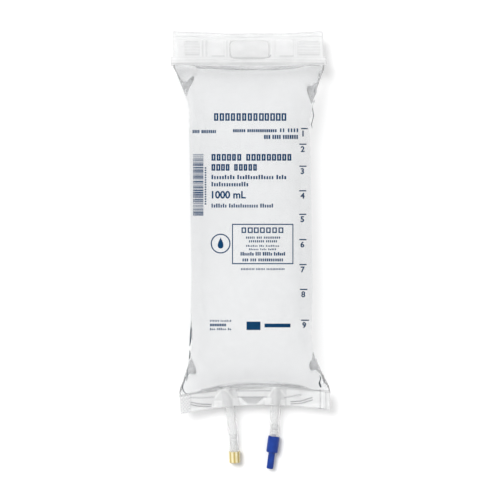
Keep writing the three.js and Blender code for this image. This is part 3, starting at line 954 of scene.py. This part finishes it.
pro_profile = ([(-2.0, 0), (-1.95, 0.7), (-1.75, 1.3), (-1.3, 1.75), (-0.6, 1.95), (0.4, 2.0), (6.0, 2.0), (10.4, 2.0), (10.6, 2.3),
                (10.6, 4.2), (10.45, 4.42), (0.3, 4.45), (0.08, 4.5), (0.0, 4.6), (0.08, 4.72), (0.5, 4.82), (1.7, 5.04)]
               + [(z, 5.05) for z in np.linspace(2.2, 12.6, 14)]
               + [(13.0, 5.02), (13.5, 4.9), (13.9, 4.6), (14.1, 4.1), (14.25, 3.5), (14.5, 3.12), (15.0, 2.95)]
               + [(z, 2.88) for z in np.linspace(15.4, 26.6, 60)]
               + [(27.0, 2.95), (27.5, 2.9), (27.9, 2.7), (28.15, 2.3), (28.2, 1.6), (28.2, 0)])
protector = turned("port_protector_fine", pro_from, pro_dir, pro_profile, 96, grip)


# ------------------------------------------------------------------ print
OUT_FRONT = FRONT + N_FRONT * (FILM + 0.05) + np.array([0, 0, 0.38])


def on_film(px):
    """Points just off the front film that the photograph shows at these pixels."""
    px = np.asarray(px, float)
    u = (px[:, 0] - 251) * 0.9
    v = (405 - px[:, 1]) * 0.9
    for _ in range(12):
        p = project(sample(OUT_FRONT, u, v))
        pu = project(sample(OUT_FRONT, u + 0.5, v)) - p
        pv = project(sample(OUT_FRONT, u, v + 0.5)) - p
        r = px - p
        det = pu[:, 0] * pv[:, 1] - pu[:, 1] * pv[:, 0]
        det = np.where(np.abs(det) < 1e-6, 1e-6, det)
        du = (r[:, 0] * pv[:, 1] - r[:, 1] * pv[:, 0]) / det * 0.5
        dv = (r[:, 1] * pu[:, 0] - r[:, 0] * pu[:, 1]) / det * 0.5
        u = np.clip(u + np.clip(du, -12, 12), -P["W"] / 2 + 0.5, P["W"] / 2 - 0.5)
        v = np.clip(v + np.clip(dv, -12, 12), 1, P["L"] - 1)
    return sample(OUT_FRONT, u, v)


ink_v, ink_f = [], []


def ink_add(px_points, faces):
    start = sum(len(a) for a in ink_v)
    ink_v.append(np.asarray(px_points, float))
    ink_f.append([tuple(start + i for i in f) for f in faces])


def ink_box(x0, y0, x1, y1, cell=2.5):
    cx = max(1, int(math.ceil((x1 - x0) / cell)))
    cy = max(1, int(math.ceil((y1 - y0) / cell)))
    gx, gy = np.meshgrid(np.linspace(x0, x1, cx + 1), np.linspace(y1, y0, cy + 1))
    pts = np.stack([gx, gy], -1).reshape(-1, 2)
    ink_add(pts, [tuple(q) for q in grid_faces(cy + 1, cx + 1)])


def ink_ring(cx, cy, r0, r1, count=64):
    th = np.linspace(0, 2 * math.pi, count, endpoint=False)
    c, s = np.cos(th), -np.sin(th)
    pts = np.concatenate([np.stack([cx + c * r1, cy + s * r1], -1), np.stack([cx + c * r0, cy + s * r0], -1)])
    ink_add(pts, [(i, (i + 1) % count, count + (i + 1) % count, count + i) for i in range(count)])


def ink_shape(points, centre):
    pts = np.vstack([np.asarray(points, float), [centre]])
    n = len(points)
    ink_add(pts, [(i, (i + 1) % n, n) for i in range(n)])


def ink_words(x0, x1, y0, y1, counts, low=(), ink=0.74, open_=0.0):
    """A line of copy as plain blocks, one to a character, in words. low: share of blocks of small
    height. open_: the stroke of blocks that are drawn as outlines."""
    units = sum(counts) + 0.75 * (len(counts) - 1)
    step = (x1 - x0) / (units - (1 - ink))
    h = y1 - y0
    x = x0
    rng = np.random.default_rng(int(x0 * 7 + y0 * 13))
    for c in counts:
        for i in range(c):
            small = bool(low) and i > 0 and rng.random() < low[0]
            w = ink * (0.92 + 0.16 * rng.random())
            if open_:
                b = x + w * step
                ink_box(x, y0, x + open_, y1)
                ink_box(b - open_, y0, b, y1)
                ink_box(x + open_, y0, b - open_, y0 + 0.9 * open_)
                ink_box(x + open_, y1 - 0.9 * open_, b - open_, y1)
            else:
                ink_box(x, y0 + (0.27 * h if small else 0), x + w * step, y1, 2.5)
            x += step
        x += 0.75 * step


def ink_text(text, x0, y0, y1, x1=None, bold=0.0):
    """Plain figures, from Blender's own font, fitted into a box of pixels."""
    cu = bpy.data.curves.new("t", "FONT")
    cu.body = text
    cu.offset = bold
    cu.resolution_u = 6
    ob = bpy.data.objects.new("t", cu)
    bpy.context.scene.collection.objects.link(ob)
    dg = bpy.context.evaluated_depsgraph_get()
    me = ob.evaluated_get(dg).to_mesh()
    co = np.array([tuple(v_.co)[:2] for v_ in me.vertices])
    polys = [tuple(p_.vertices) for p_ in me.polygons]
    ob.evaluated_get(dg).to_mesh_clear()
    bpy.data.objects.remove(ob, do_unlink=True)
    bpy.data.curves.remove(cu)
    lo, hi = co.min(0), co.max(0)
    ky = (y1 - y0) / (hi[1] - lo[1])
    kx = ky if x1 is None else (x1 - x0) / (hi[0] - lo[0])
    pts = np.stack([x0 + (co[:, 0] - lo[0]) * kx, y1 - (co[:, 1] - lo[1]) * ky], -1)
    ink_add(pts, polys)


# heading, identification lines
ink_words(214, 286, 113.2, 120.8, [13], ink=0.80, open_=1.65)
ink_words(192.5, 216, 130.0, 133.2, [4, 8])
ink_words(233, 276.5, 129.2, 132.2, [6, 14])
ink_words(280, 298, 128.4, 132.2, [2, 4], ink=0.5)
ink_words(264, 298, 134.9, 139.0, [3, 4, 7])
# title block
ink_words(211.5, 291.5, 154.0, 160.7, [6, 9], ink=0.80, open_=1.65)
ink_words(211.5, 257, 164.1, 170.7, [4, 5], ink=0.80, open_=1.6)
ink_words(211.5, 286, 174.9, 179.2, [9, 14, 4], (0.6,), ink=0.62)
ink_words(211.5, 248, 181.9, 186.4, [15], (0.6,), ink=0.62)
ink_text("1000 mL", 211.8, 190.9, 198.6, 245.8, bold=0.030)
ink_words(211.5, 273, 203.6, 207.6, [7, 13, 6], (0.6,), ink=0.62)
# a plain block of stripes in the place of the code
rng = np.random.default_rng(21)
y = 154.2
while y < 216.0:
    w = float(rng.choice([0.55, 0.55, 0.95, 1.4]))
    ink_box(193.0, y, 203.4, min(y + w, 216.4), 3)
    y += w + float(rng.choice([0.45, 0.6, 0.9]))
for y in np.arange(167.2, 205.0, 2.4):
    ink_box(204.7, y, 206.3, y + 1.4)
# ring with a drop, and the outlined panel
ink_ring(220.6, 243.6, 8.7, 9.9)
th = np.linspace(0, 2 * math.pi, 40, endpoint=False)
drop = np.stack([220.6 + 4.1 * np.sin(th) * np.sin(th / 2) ** 1.5, 242.9 - 5.6 * np.cos(th)], -1)
ink_shape(drop, (220.6, 244.6))
for a in ((232, 223.8, 293.4, 224.9), (232, 263.1, 293.4, 264.2), (232, 224.9, 233.0, 263.1), (292.4, 224.9, 293.4, 263.1)):
    ink_box(*a)
ink_words(241.5, 283.4, 227.4, 233.0, [7], ink=0.80, open_=1.3)
ink_words(246, 280, 236.5, 238.7, [5, 3, 9], ink=0.6)
ink_words(249, 277, 240.2, 242.4, [8, 6], ink=0.6)
ink_words(246, 279, 244.9, 246.8, [7, 3, 8], (0.6,), ink=0.6)
ink_words(249, 276, 248.4, 250.2, [6, 4, 5], (0.6,), ink=0.6)
ink_words(240.5, 285, 252.0, 255.6, [7, 3, 5, 6], (0.5,), ink=0.72)
ink_words(242.5, 283, 258.5, 261.4, [3, 3, 12], ink=0.66)
ink_words(241, 284.5, 268.2, 270.0, [9, 6, 12], ink=0.6)
# foot: a small note and a plain mark with a bar
ink_words(210, 231, 319.8, 321.8, [6, 7], (0.5,), ink=0.55)
ink_words(210, 226, 323.7, 326.3, [7], ink=0.75)
ink_words(210, 231, 328.0, 330.2, [3, 5, 2], (0.5,), ink=0.6)
ink_box(246.5, 321.6, 260.5, 330.0)
ink_box(264.5, 323.6, 290.5, 327.4)
# scale
scale = [(128.6, "1", 301, 308, 0.040), (144.2, "2", 299.4, 306.5, 0.034), (166.2, "3", 299.4, 306.5, 0.034),
         (190.8, "4", 299.2, 306.3, 0.034), (214.3, "5", 299.2, 306.3, 0.034), (239.6, "6", 299.2, 306.4, 0.034),
         (264.6, "7", 299.4, 306.6, 0.034), (289.4, "8", 300.0, 307.4, 0.026), (320.2, "9", 301.0, 309.0, 0.034)]
for y, text, x0, x1, bold in scale:
    ink_box(x0, y - 0.6, x1, y + 0.6)
    ink_text(text, x0 + 1.3, y + 1.9, y + 7.9, None, bold=bold)
pts = np.concatenate(ink_v)
world_pts = on_film(pts)
me = bpy.data.meshes.new("print_ink")
me.from_pydata([tuple(p * MM) for p in world_pts], [], [f for fs in ink_f for f in fs])
me.validate()
me.update()
ink = bpy.data.objects.new("print_ink", me)
ink.visible_shadow = False
bpy.context.scene.collection.objects.link(ink)


# ------------------------------------------------------------------ sharp creases at the side folds, as painted shade
crease_v, crease_f = [], []


def crease(points, height=0.35, across=7, level=None):
    """A thin raised fold of film along a line of photograph pixels (x, y, half width), on the film
    or, with a level, standing out of the side fold at that height."""
    pts = np.array(points, float)
    d = np.r_[0, np.cumsum(np.hypot(*np.diff(pts[:, :2], axis=0).T))]
    q = np.linspace(0, d[-1], max(4, int(d[-1] / 0.7)))
    run = np.stack([np.interp(q, d, pts[:, c]) for c in range(3)], 1)
    soft = run.copy()
    soft[1:-1] = 0.25 * run[:-2] + 0.5 * run[1:-1] + 0.25 * run[2:]
    t = np.gradient(soft[:, :2], axis=0)
    t /= np.linalg.norm(t, axis=1, keepdims=True)
    side = np.stack([-t[:, 1], t[:, 0]], 1)
    a = np.linspace(-1, 1, across)
    px = soft[:, None, :2] + side[:, None, :] * (soft[:, 2][:, None] * a[None, :])[..., None]
    if level is None:
        world = on_film(px.reshape(-1, 2)).reshape(len(q), across, 3)
    else:
        k = PX * (CAM_Z - level) / (CAM_Z - Z_REF)
        world = np.stack([CX + (px[..., 0] - 250) * k, CY - (px[..., 1] - 250) * k, np.full(px.shape[:2], float(level))], -1)
    rise = height * (1 - a ** 2)[None, :] * np.clip(soft[:, 2] / 0.8, 0, 1)[:, None]
    world[..., 0] += np.where(px[..., 0] < 250, -0.5, 0.5) * rise
    world[..., 2] += 0.7 * rise
    start = sum(len(v_) for v_ in crease_v)
    crease_v.append(world.reshape(-1, 3))
    crease_f.append(grid_faces(len(q), across, start))


# Painted shade: dark ribbons stand in for the dark lines that light makes in the clear film's folds.
crease([(185.7, 377, 0.15), (183.9, 382, 0.4), (182.4, 387, 0.4), (183.4, 391, 0.45), (185.4, 393, 0.3), (188.0, 395.0, 0.12)])
crease([(319.6, 375.4, 0.2), (320.7, 378.0, 0.6), (320.0, 380.8, 0.45), (319.3, 383.2, 0.8), (320.2, 385.4, 1.1), (320.9, 387.4, 0.5)])
crease([(323.8, 378.6, 0.1), (324.2, 381.0, 0.35), (323.7, 383.6, 0.12)])
crease([(191.6, 313, 0.15), (191.4, 322, 0.4), (191.0, 330, 0.7), (190.6, 337, 0.9), (190.3, 342, 0.7), (189.7, 346, 0.3)], level=20.5)
crease([(189.8, 350.5, 0.3), (190.0, 356, 0.75), (189.1, 363, 0.6), (188.7, 370, 0.8), (188.3, 376, 0.7), (187.2, 381, 0.2)], level=20.5)
crease([(313.0, 87.0, 0.15), (312.4, 91.0, 0.5), (313.2, 93.6, 0.45), (312.4, 97.0, 0.3), (312.2, 99.0, 0.1)], level=21.5)
crease([(312.3, 105.0, 0.12), (312.9, 111.0, 0.35), (313.6, 116.0, 0.4), (312.5, 120.5, 0.32), (311.4, 124.5, 0.35), (312.2, 128.5, 0.12)], level=22.0)
folds = mesh_object("side_creases", np.concatenate(crease_v), np.concatenate(crease_f))
folds.visible_shadow = False


# ------------------------------------------------------------------ materials
def new_material(name):
    m = bpy.data.materials.new(name)
    m.use_nodes = True
    nt = m.node_tree
    nt.nodes.clear()
    out = nt.nodes.new("ShaderNodeOutputMaterial")
    bsdf = nt.nodes.new("ShaderNodeBsdfPrincipled")
    return m, nt, out, bsdf


def node(nt, kind, **values):
    n = nt.nodes.new(kind)
    for key, val in values.items():
        if key.startswith("in_"):
            n.inputs[key[3:].replace("_", " ")].default_value = val
        else:
            setattr(n, key, val)
    return n


SHADE_DIR = (0.74, -0.66, 0.0)          # surfaces that face this way hold back more of the key light


def clear_material(name, colour, ior, rough, trans, shade, shade_side=None, bump=0.0, bump_scale=600.0, rough_var=0.05, toned=False):
    """A clear material. The key light shines through it, less where it faces away from that light."""
    m, nt, out, b = new_material(name)
    L = nt.links
    b.inputs["Base Color"].default_value = (*colour, 1)
    b.inputs["IOR"].default_value = ior
    b.inputs["Transmission Weight"].default_value = trans
    geo = nt.nodes.new("ShaderNodeNewGeometry")
    tc = nt.nodes.new("ShaderNodeTexCoord")
    noise = node(nt, "ShaderNodeTexNoise", in_Scale=bump_scale * 0.15, in_Detail=3.0)
    L.new(tc.outputs["Object"], noise.inputs["Vector"])
    ramp = node(nt, "ShaderNodeMapRange", in_From_Min=0.35, in_From_Max=0.65, in_To_Min=rough, in_To_Max=rough + rough_var)
    L.new(noise.outputs["Fac"], ramp.inputs["Value"])
    L.new(ramp.outputs["Result"], b.inputs["Roughness"])
    if toned:                                   # painted light and shade of the pressed pattern: hazier where the tone is light, darker in the painted shade lines
        at = node(nt, "ShaderNodeAttribute", attribute_name="tone")
        haze = node(nt, "ShaderNodeMapRange", in_From_Min=-30.0, in_From_Max=20.0, in_To_Min=trans + 0.24, in_To_Max=trans - 0.20)
        L.new(at.outputs["Fac"], haze.inputs["Value"])
        cloud = node(nt, "ShaderNodeTexNoise", in_Scale=90.0, in_Detail=3.0)
        L.new(tc.outputs["Object"], cloud.inputs["Vector"])
        more = node(nt, "ShaderNodeMath", operation="MULTIPLY_ADD")
        more.inputs[1].default_value = -0.14
        more.inputs[2].default_value = 0.07
        L.new(cloud.outputs["Fac"], more.inputs[0])
        total = node(nt, "ShaderNodeMath", operation="ADD", use_clamp=True)
        L.new(haze.outputs["Result"], total.inputs[0])
        L.new(more.outputs[0], total.inputs[1])
        L.new(total.outputs[0], b.inputs["Transmission Weight"])
        # Painted shade: below 0 the tone darkens the base colour towards a third of itself.
        dark = node(nt, "ShaderNodeMapRange", in_From_Min=-40.0, in_From_Max=0.0, in_To_Min=0.42, in_To_Max=1.0)
        L.new(at.outputs["Fac"], dark.inputs["Value"])
        tint = node(nt, "ShaderNodeMix", data_type="RGBA", blend_type="MIX")
        tint.inputs[6].default_value = (colour[0] * 0.30, colour[1] * 0.31, colour[2] * 0.32, 1)
        tint.inputs[7].default_value = (*colour, 1)
        L.new(dark.outputs["Result"], tint.inputs[0])
        L.new(tint.outputs[2], b.inputs["Base Color"])
    if bump:
        fine = node(nt, "ShaderNodeTexNoise", in_Scale=bump_scale, in_Detail=2.0)
        L.new(tc.outputs["Object"], fine.inputs["Vector"])
        bp = node(nt, "ShaderNodeBump", in_Strength=bump, in_Distance=0.0002)
        L.new(fine.outputs["Fac"], bp.inputs["Height"])
        L.new(bp.outputs["Normal"], b.inputs["Normal"])
    lp = nt.nodes.new("ShaderNodeLightPath")
    fac = node(nt, "ShaderNodeMath", operation="MULTIPLY")
    L.new(lp.outputs["Is Shadow Ray"], fac.inputs[0])
    fac.inputs[1].default_value = shade
    if shade_side is not None:
        flip = node(nt, "ShaderNodeMath", operation="MULTIPLY_ADD")
        flip.inputs[1].default_value = -2.0
        flip.inputs[2].default_value = 1.0
        L.new(geo.outputs["Backfacing"], flip.inputs[0])
        dot = node(nt, "ShaderNodeVectorMath", operation="DOT_PRODUCT")
        dot.inputs[1].default_value = SHADE_DIR
        L.new(geo.outputs["Normal"], dot.inputs[0])
        away = node(nt, "ShaderNodeMath", operation="MULTIPLY")
        L.new(dot.outputs["Value"], away.inputs[0])
        L.new(flip.outputs[0], away.inputs[1])
        through = node(nt, "ShaderNodeMapRange", in_From_Min=0.40, in_From_Max=0.90, in_To_Min=shade, in_To_Max=shade_side)
        L.new(away.outputs[0], through.inputs["Value"])
        L.new(through.outputs["Result"], fac.inputs[1])
    clear = node(nt, "ShaderNodeBsdfTransparent")
    mix = nt.nodes.new("ShaderNodeMixShader")
    L.new(fac.outputs[0], mix.inputs["Fac"])
    L.new(b.outputs["BSDF"], mix.inputs[1])
    L.new(clear.outputs["BSDF"], mix.inputs[2])
    L.new(mix.outputs["Shader"], out.inputs["Surface"])
    return m


film_mat = clear_material("clear_film", (0.99, 0.992, 0.995), 1.18, 0.05, 0.95, 0.99, 0.80, bump=0.05, bump_scale=900, toned=True)
film_in_mat = clear_material("clear_film_inside", (0.99, 0.992, 0.995), 1.18, 0.05, 0.97, 0.985, bump=0.05, bump_scale=900)
header_mat = clear_material("welded_header", (0.86, 0.863, 0.866), 1.42, 0.14, 0.56, 0.66, bump=0.12, bump_scale=700, rough_var=0.12, toned=True)
weld_mat = clear_material("welded_film", (0.96, 0.963, 0.966), 1.42, 0.12, 0.66, 0.77, bump=0.12, bump_scale=700, rough_var=0.12, toned=True)
water_mat = clear_material("clear_liquid", (0.994, 0.998, 1.0), 1.33, 0.0, 1.0, 0.995, 0.86, rough_var=0.0)
tube_mat = clear_material("clear_tube", (0.97, 0.972, 0.972), 1.38, 0.14, 0.86, 0.90, bump=0.03, bump_scale=500, rough_var=0.08)
inner_tube_mat = clear_material("clear_inner_tube", (0.985, 0.987, 0.987), 1.16, 0.12, 0.90, 0.97, bump=0.03, bump_scale=500, rough_var=0.08)


def solid_material(name, colour, dark, rough, bump, scale, coat=0.0, sss=0.0, spec=0.5, groove=None):
    m, nt, out, b = new_material(name)
    L = nt.links
    tc = nt.nodes.new("ShaderNodeTexCoord")
    big = node(nt, "ShaderNodeTexNoise", in_Scale=scale * 0.12, in_Detail=4.0)
    L.new(tc.outputs["Object"], big.inputs["Vector"])
    ramp = nt.nodes.new("ShaderNodeValToRGB")
    ramp.color_ramp.elements[0].position, ramp.color_ramp.elements[1].position = 0.35, 0.68
    ramp.color_ramp.elements[0].color = (*dark, 1)
    ramp.color_ramp.elements[1].color = (*colour, 1)
    L.new(big.outputs["Fac"], ramp.inputs["Fac"])
    L.new(ramp.outputs["Color"], b.inputs["Base Color"])
    # Painted shade: the tone mixes the groove colour in where the ribs leave hollows.
    if groove is not None:
        at = node(nt, "ShaderNodeAttribute", attribute_name="tone")
        tint = node(nt, "ShaderNodeMix", data_type="RGBA", blend_type="MIX")
        L.new(at.outputs["Fac"], tint.inputs[0])
        L.new(ramp.outputs["Color"], tint.inputs[6])
        tint.inputs[7].default_value = (*groove, 1)
        L.new(tint.outputs[2], b.inputs["Base Color"])
    rr = node(nt, "ShaderNodeMapRange", in_To_Min=rough, in_To_Max=rough + 0.15)
    L.new(big.outputs["Fac"], rr.inputs["Value"])
    L.new(rr.outputs["Result"], b.inputs["Roughness"])
    fine = node(nt, "ShaderNodeTexNoise", in_Scale=scale, in_Detail=3.0)
    L.new(tc.outputs["Object"], fine.inputs["Vector"])
    bp = node(nt, "ShaderNodeBump", in_Strength=bump, in_Distance=0.0002)
    L.new(fine.outputs["Fac"], bp.inputs["Height"])
    L.new(bp.outputs["Normal"], b.inputs["Normal"])
    b.inputs["Specular IOR Level"].default_value = spec
    if coat:
        b.inputs["Coat Weight"].default_value = coat
    if sss:
        b.inputs["Subsurface Weight"].default_value = sss
        b.inputs["Subsurface Radius"].default_value = (0.004, 0.0025, 0.001)
        b.inputs["Subsurface Scale"].default_value = 0.6
    L.new(b.outputs["BSDF"], out.inputs["Surface"])
    return m


# The dark gold is painted shade in the rubber's grooves.
cream_mat = solid_material("cream_rubber", (0.87, 0.79, 0.55), (0.80, 0.71, 0.43), 0.45, 0.25, 1800, sss=0.10, groove=(0.46, 0.34, 0.09))
blue_mat = solid_material("blue_plastic", (0.0085, 0.048, 0.30), (0.005, 0.031, 0.215), 0.34, 0.15, 1500, spec=0.35)
# Painted shade: an opaque dark finish for the dark lines that light bent in the film's folds makes.
fold_shade_mat = solid_material("painted_fold_shade", (0.16, 0.19, 0.22), (0.010, 0.016, 0.024), 0.12, 0.1, 1700, coat=0.3)
ink_mat = solid_material("blue_ink", (0.0030, 0.044, 0.120), (0.0022, 0.036, 0.100), 0.6, 0.1, 2500, spec=0.12)


def finish_piece(o, mat, body, nodes=()):
    o.data.materials.clear()
    o.data.materials.append(mat)
    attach(o, body)
    if nodes:
        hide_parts(*nodes)


finish_piece(film, film_mat, "bag", ["bag_film"])
film.data.materials.append(film_in_mat)
film.data.polygons.foreach_set("material_index", film_inside.astype(np.int32))
finish_piece(header, header_mat, "bag")
finish_piece(flap, header_mat, "bag")
finish_piece(flange, weld_mat, "bag")
finish_piece(liquid, water_mat, "bag", ["solution"])
finish_piece(med_tube, tube_mat, "bag", ["medication_port_tube"])
finish_piece(med_mem, inner_tube_mat, "bag", ["medication_membrane_tube"])
finish_piece(med_disc, inner_tube_mat, "bag")
finish_piece(adm_tube, tube_mat, "bag", ["administration_port_tube"])
finish_piece(adm_mem, inner_tube_mat, "bag", ["administration_membrane_tube"])
finish_piece(adm_disc, inner_tube_mat, "bag")
finish_piece(site, cream_mat, "bag", ["injection_site"])
finish_piece(protector, blue_mat, "protector", ["port_protector"])
finish_piece(ink, ink_mat, "bag")
finish_piece(folds, fold_shade_mat, "bag")

# ------------------------------------------------------------------ floor, light, camera
fm = bpy.data.meshes.new("floor")
R = 12.0
fm.from_pydata([(-R, -R, -0.0004), (R, -R, -0.0004), (R, R, -0.0004), (-R, R, -0.0004)], [], [(0, 1, 2, 3)])
floor = bpy.data.objects.new("floor", fm)
bpy.context.scene.collection.objects.link(floor)
m, nt, out, b = new_material("floor_white")
b.inputs["Base Color"].default_value = (0.93, 0.93, 0.93, 1)
b.inputs["Roughness"].default_value = 0.8
b.inputs["Specular IOR Level"].default_value = 0.2
nt.links.new(b.outputs["BSDF"], out.inputs["Surface"])
fm.materials.append(m)

world = bpy.data.worlds.new("studio")
bpy.context.scene.world = world
world.use_nodes = True
wn = world.node_tree
wn.nodes.clear()
wo = wn.nodes.new("ShaderNodeOutputWorld")
bg = wn.nodes.new("ShaderNodeBackground")
tc = wn.nodes.new("ShaderNodeTexCoord")
sp = wn.nodes.new("ShaderNodeSeparateXYZ")
ramp = wn.nodes.new("ShaderNodeValToRGB")
ramp.color_ramp.elements[0].position = 0.0
ramp.color_ramp.elements[0].color = (0.42, 0.43, 0.44, 1)
ramp.color_ramp.elements[1].position = 0.45
ramp.color_ramp.elements[1].color = (1.0, 1.0, 1.0, 1)
wn.links.new(tc.outputs["Generated"], sp.inputs["Vector"])
wn.links.new(sp.outputs["Z"], ramp.inputs["Fac"])
ay = wn.nodes.new("ShaderNodeMath")
ay.operation = "ABSOLUTE"
wn.links.new(sp.outputs["Y"], ay.inputs[0])
end = wn.nodes.new("ShaderNodeMapRange")
end.inputs["From Min"].default_value, end.inputs["From Max"].default_value = 0.60, 0.88
end.inputs["To Min"].default_value, end.inputs["To Max"].default_value = 0.0, 0.62
wn.links.new(ay.outputs[0], end.inputs["Value"])
low = wn.nodes.new("ShaderNodeMapRange")
low.inputs["From Min"].default_value, low.inputs["From Max"].default_value = 0.50, 0.20
wn.links.new(sp.outputs["Z"], low.inputs["Value"])
flag = wn.nodes.new("ShaderNodeMath")
flag.operation = "MULTIPLY"
wn.links.new(end.outputs["Result"], flag.inputs[0])
wn.links.new(low.outputs["Result"], flag.inputs[1])
shade = wn.nodes.new("ShaderNodeMix")
shade.data_type = "RGBA"
wn.links.new(flag.outputs[0], shade.inputs[0])
wn.links.new(ramp.outputs["Color"], shade.inputs[6])
shade.inputs[7].default_value = (0.03, 0.03, 0.035, 1)
wn.links.new(shade.outputs[2], bg.inputs["Color"])
bg.inputs["Strength"].default_value = 0.68
wn.links.new(bg.outputs["Background"], wo.inputs["Surface"])
world.cycles.sampling_method = "NONE"

sun = bpy.data.lights.new("key", "SUN")
sun.energy = 2.3
sun.angle = math.radians(28)
so = bpy.data.objects.new("key", sun)
bpy.context.scene.collection.objects.link(so)
from mathutils import Vector

so.rotation_euler = Vector((0.47, -0.50, -1.12)).to_track_quat("-Z", "Y").to_euler()
so.visible_glossy = False
so.visible_transmission = False      # it already shines through the clear pieces by their shadow term

cam = bpy.data.cameras.new("camera")
cam.sensor_width = 36.0
cam.lens = 36.0 * (CAM_Z - Z_REF) / (500 * PX)
cam.clip_start, cam.clip_end = 0.05, 50
co = bpy.data.objects.new("camera", cam)
bpy.context.scene.collection.objects.link(co)
co.location = (CX * MM, CY * MM, CAM_Z * MM)
co.rotation_euler = (0, 0, 0)
bpy.context.scene.camera = co

sc = bpy.context.scene
sc.view_settings.view_transform = "Standard"
sc.cycles.max_bounces = 24
sc.cycles.transmission_bounces = 24
sc.cycles.glossy_bounces = 8
sc.cycles.transparent_max_bounces = 32
sc.cycles.diffuse_bounces = 4
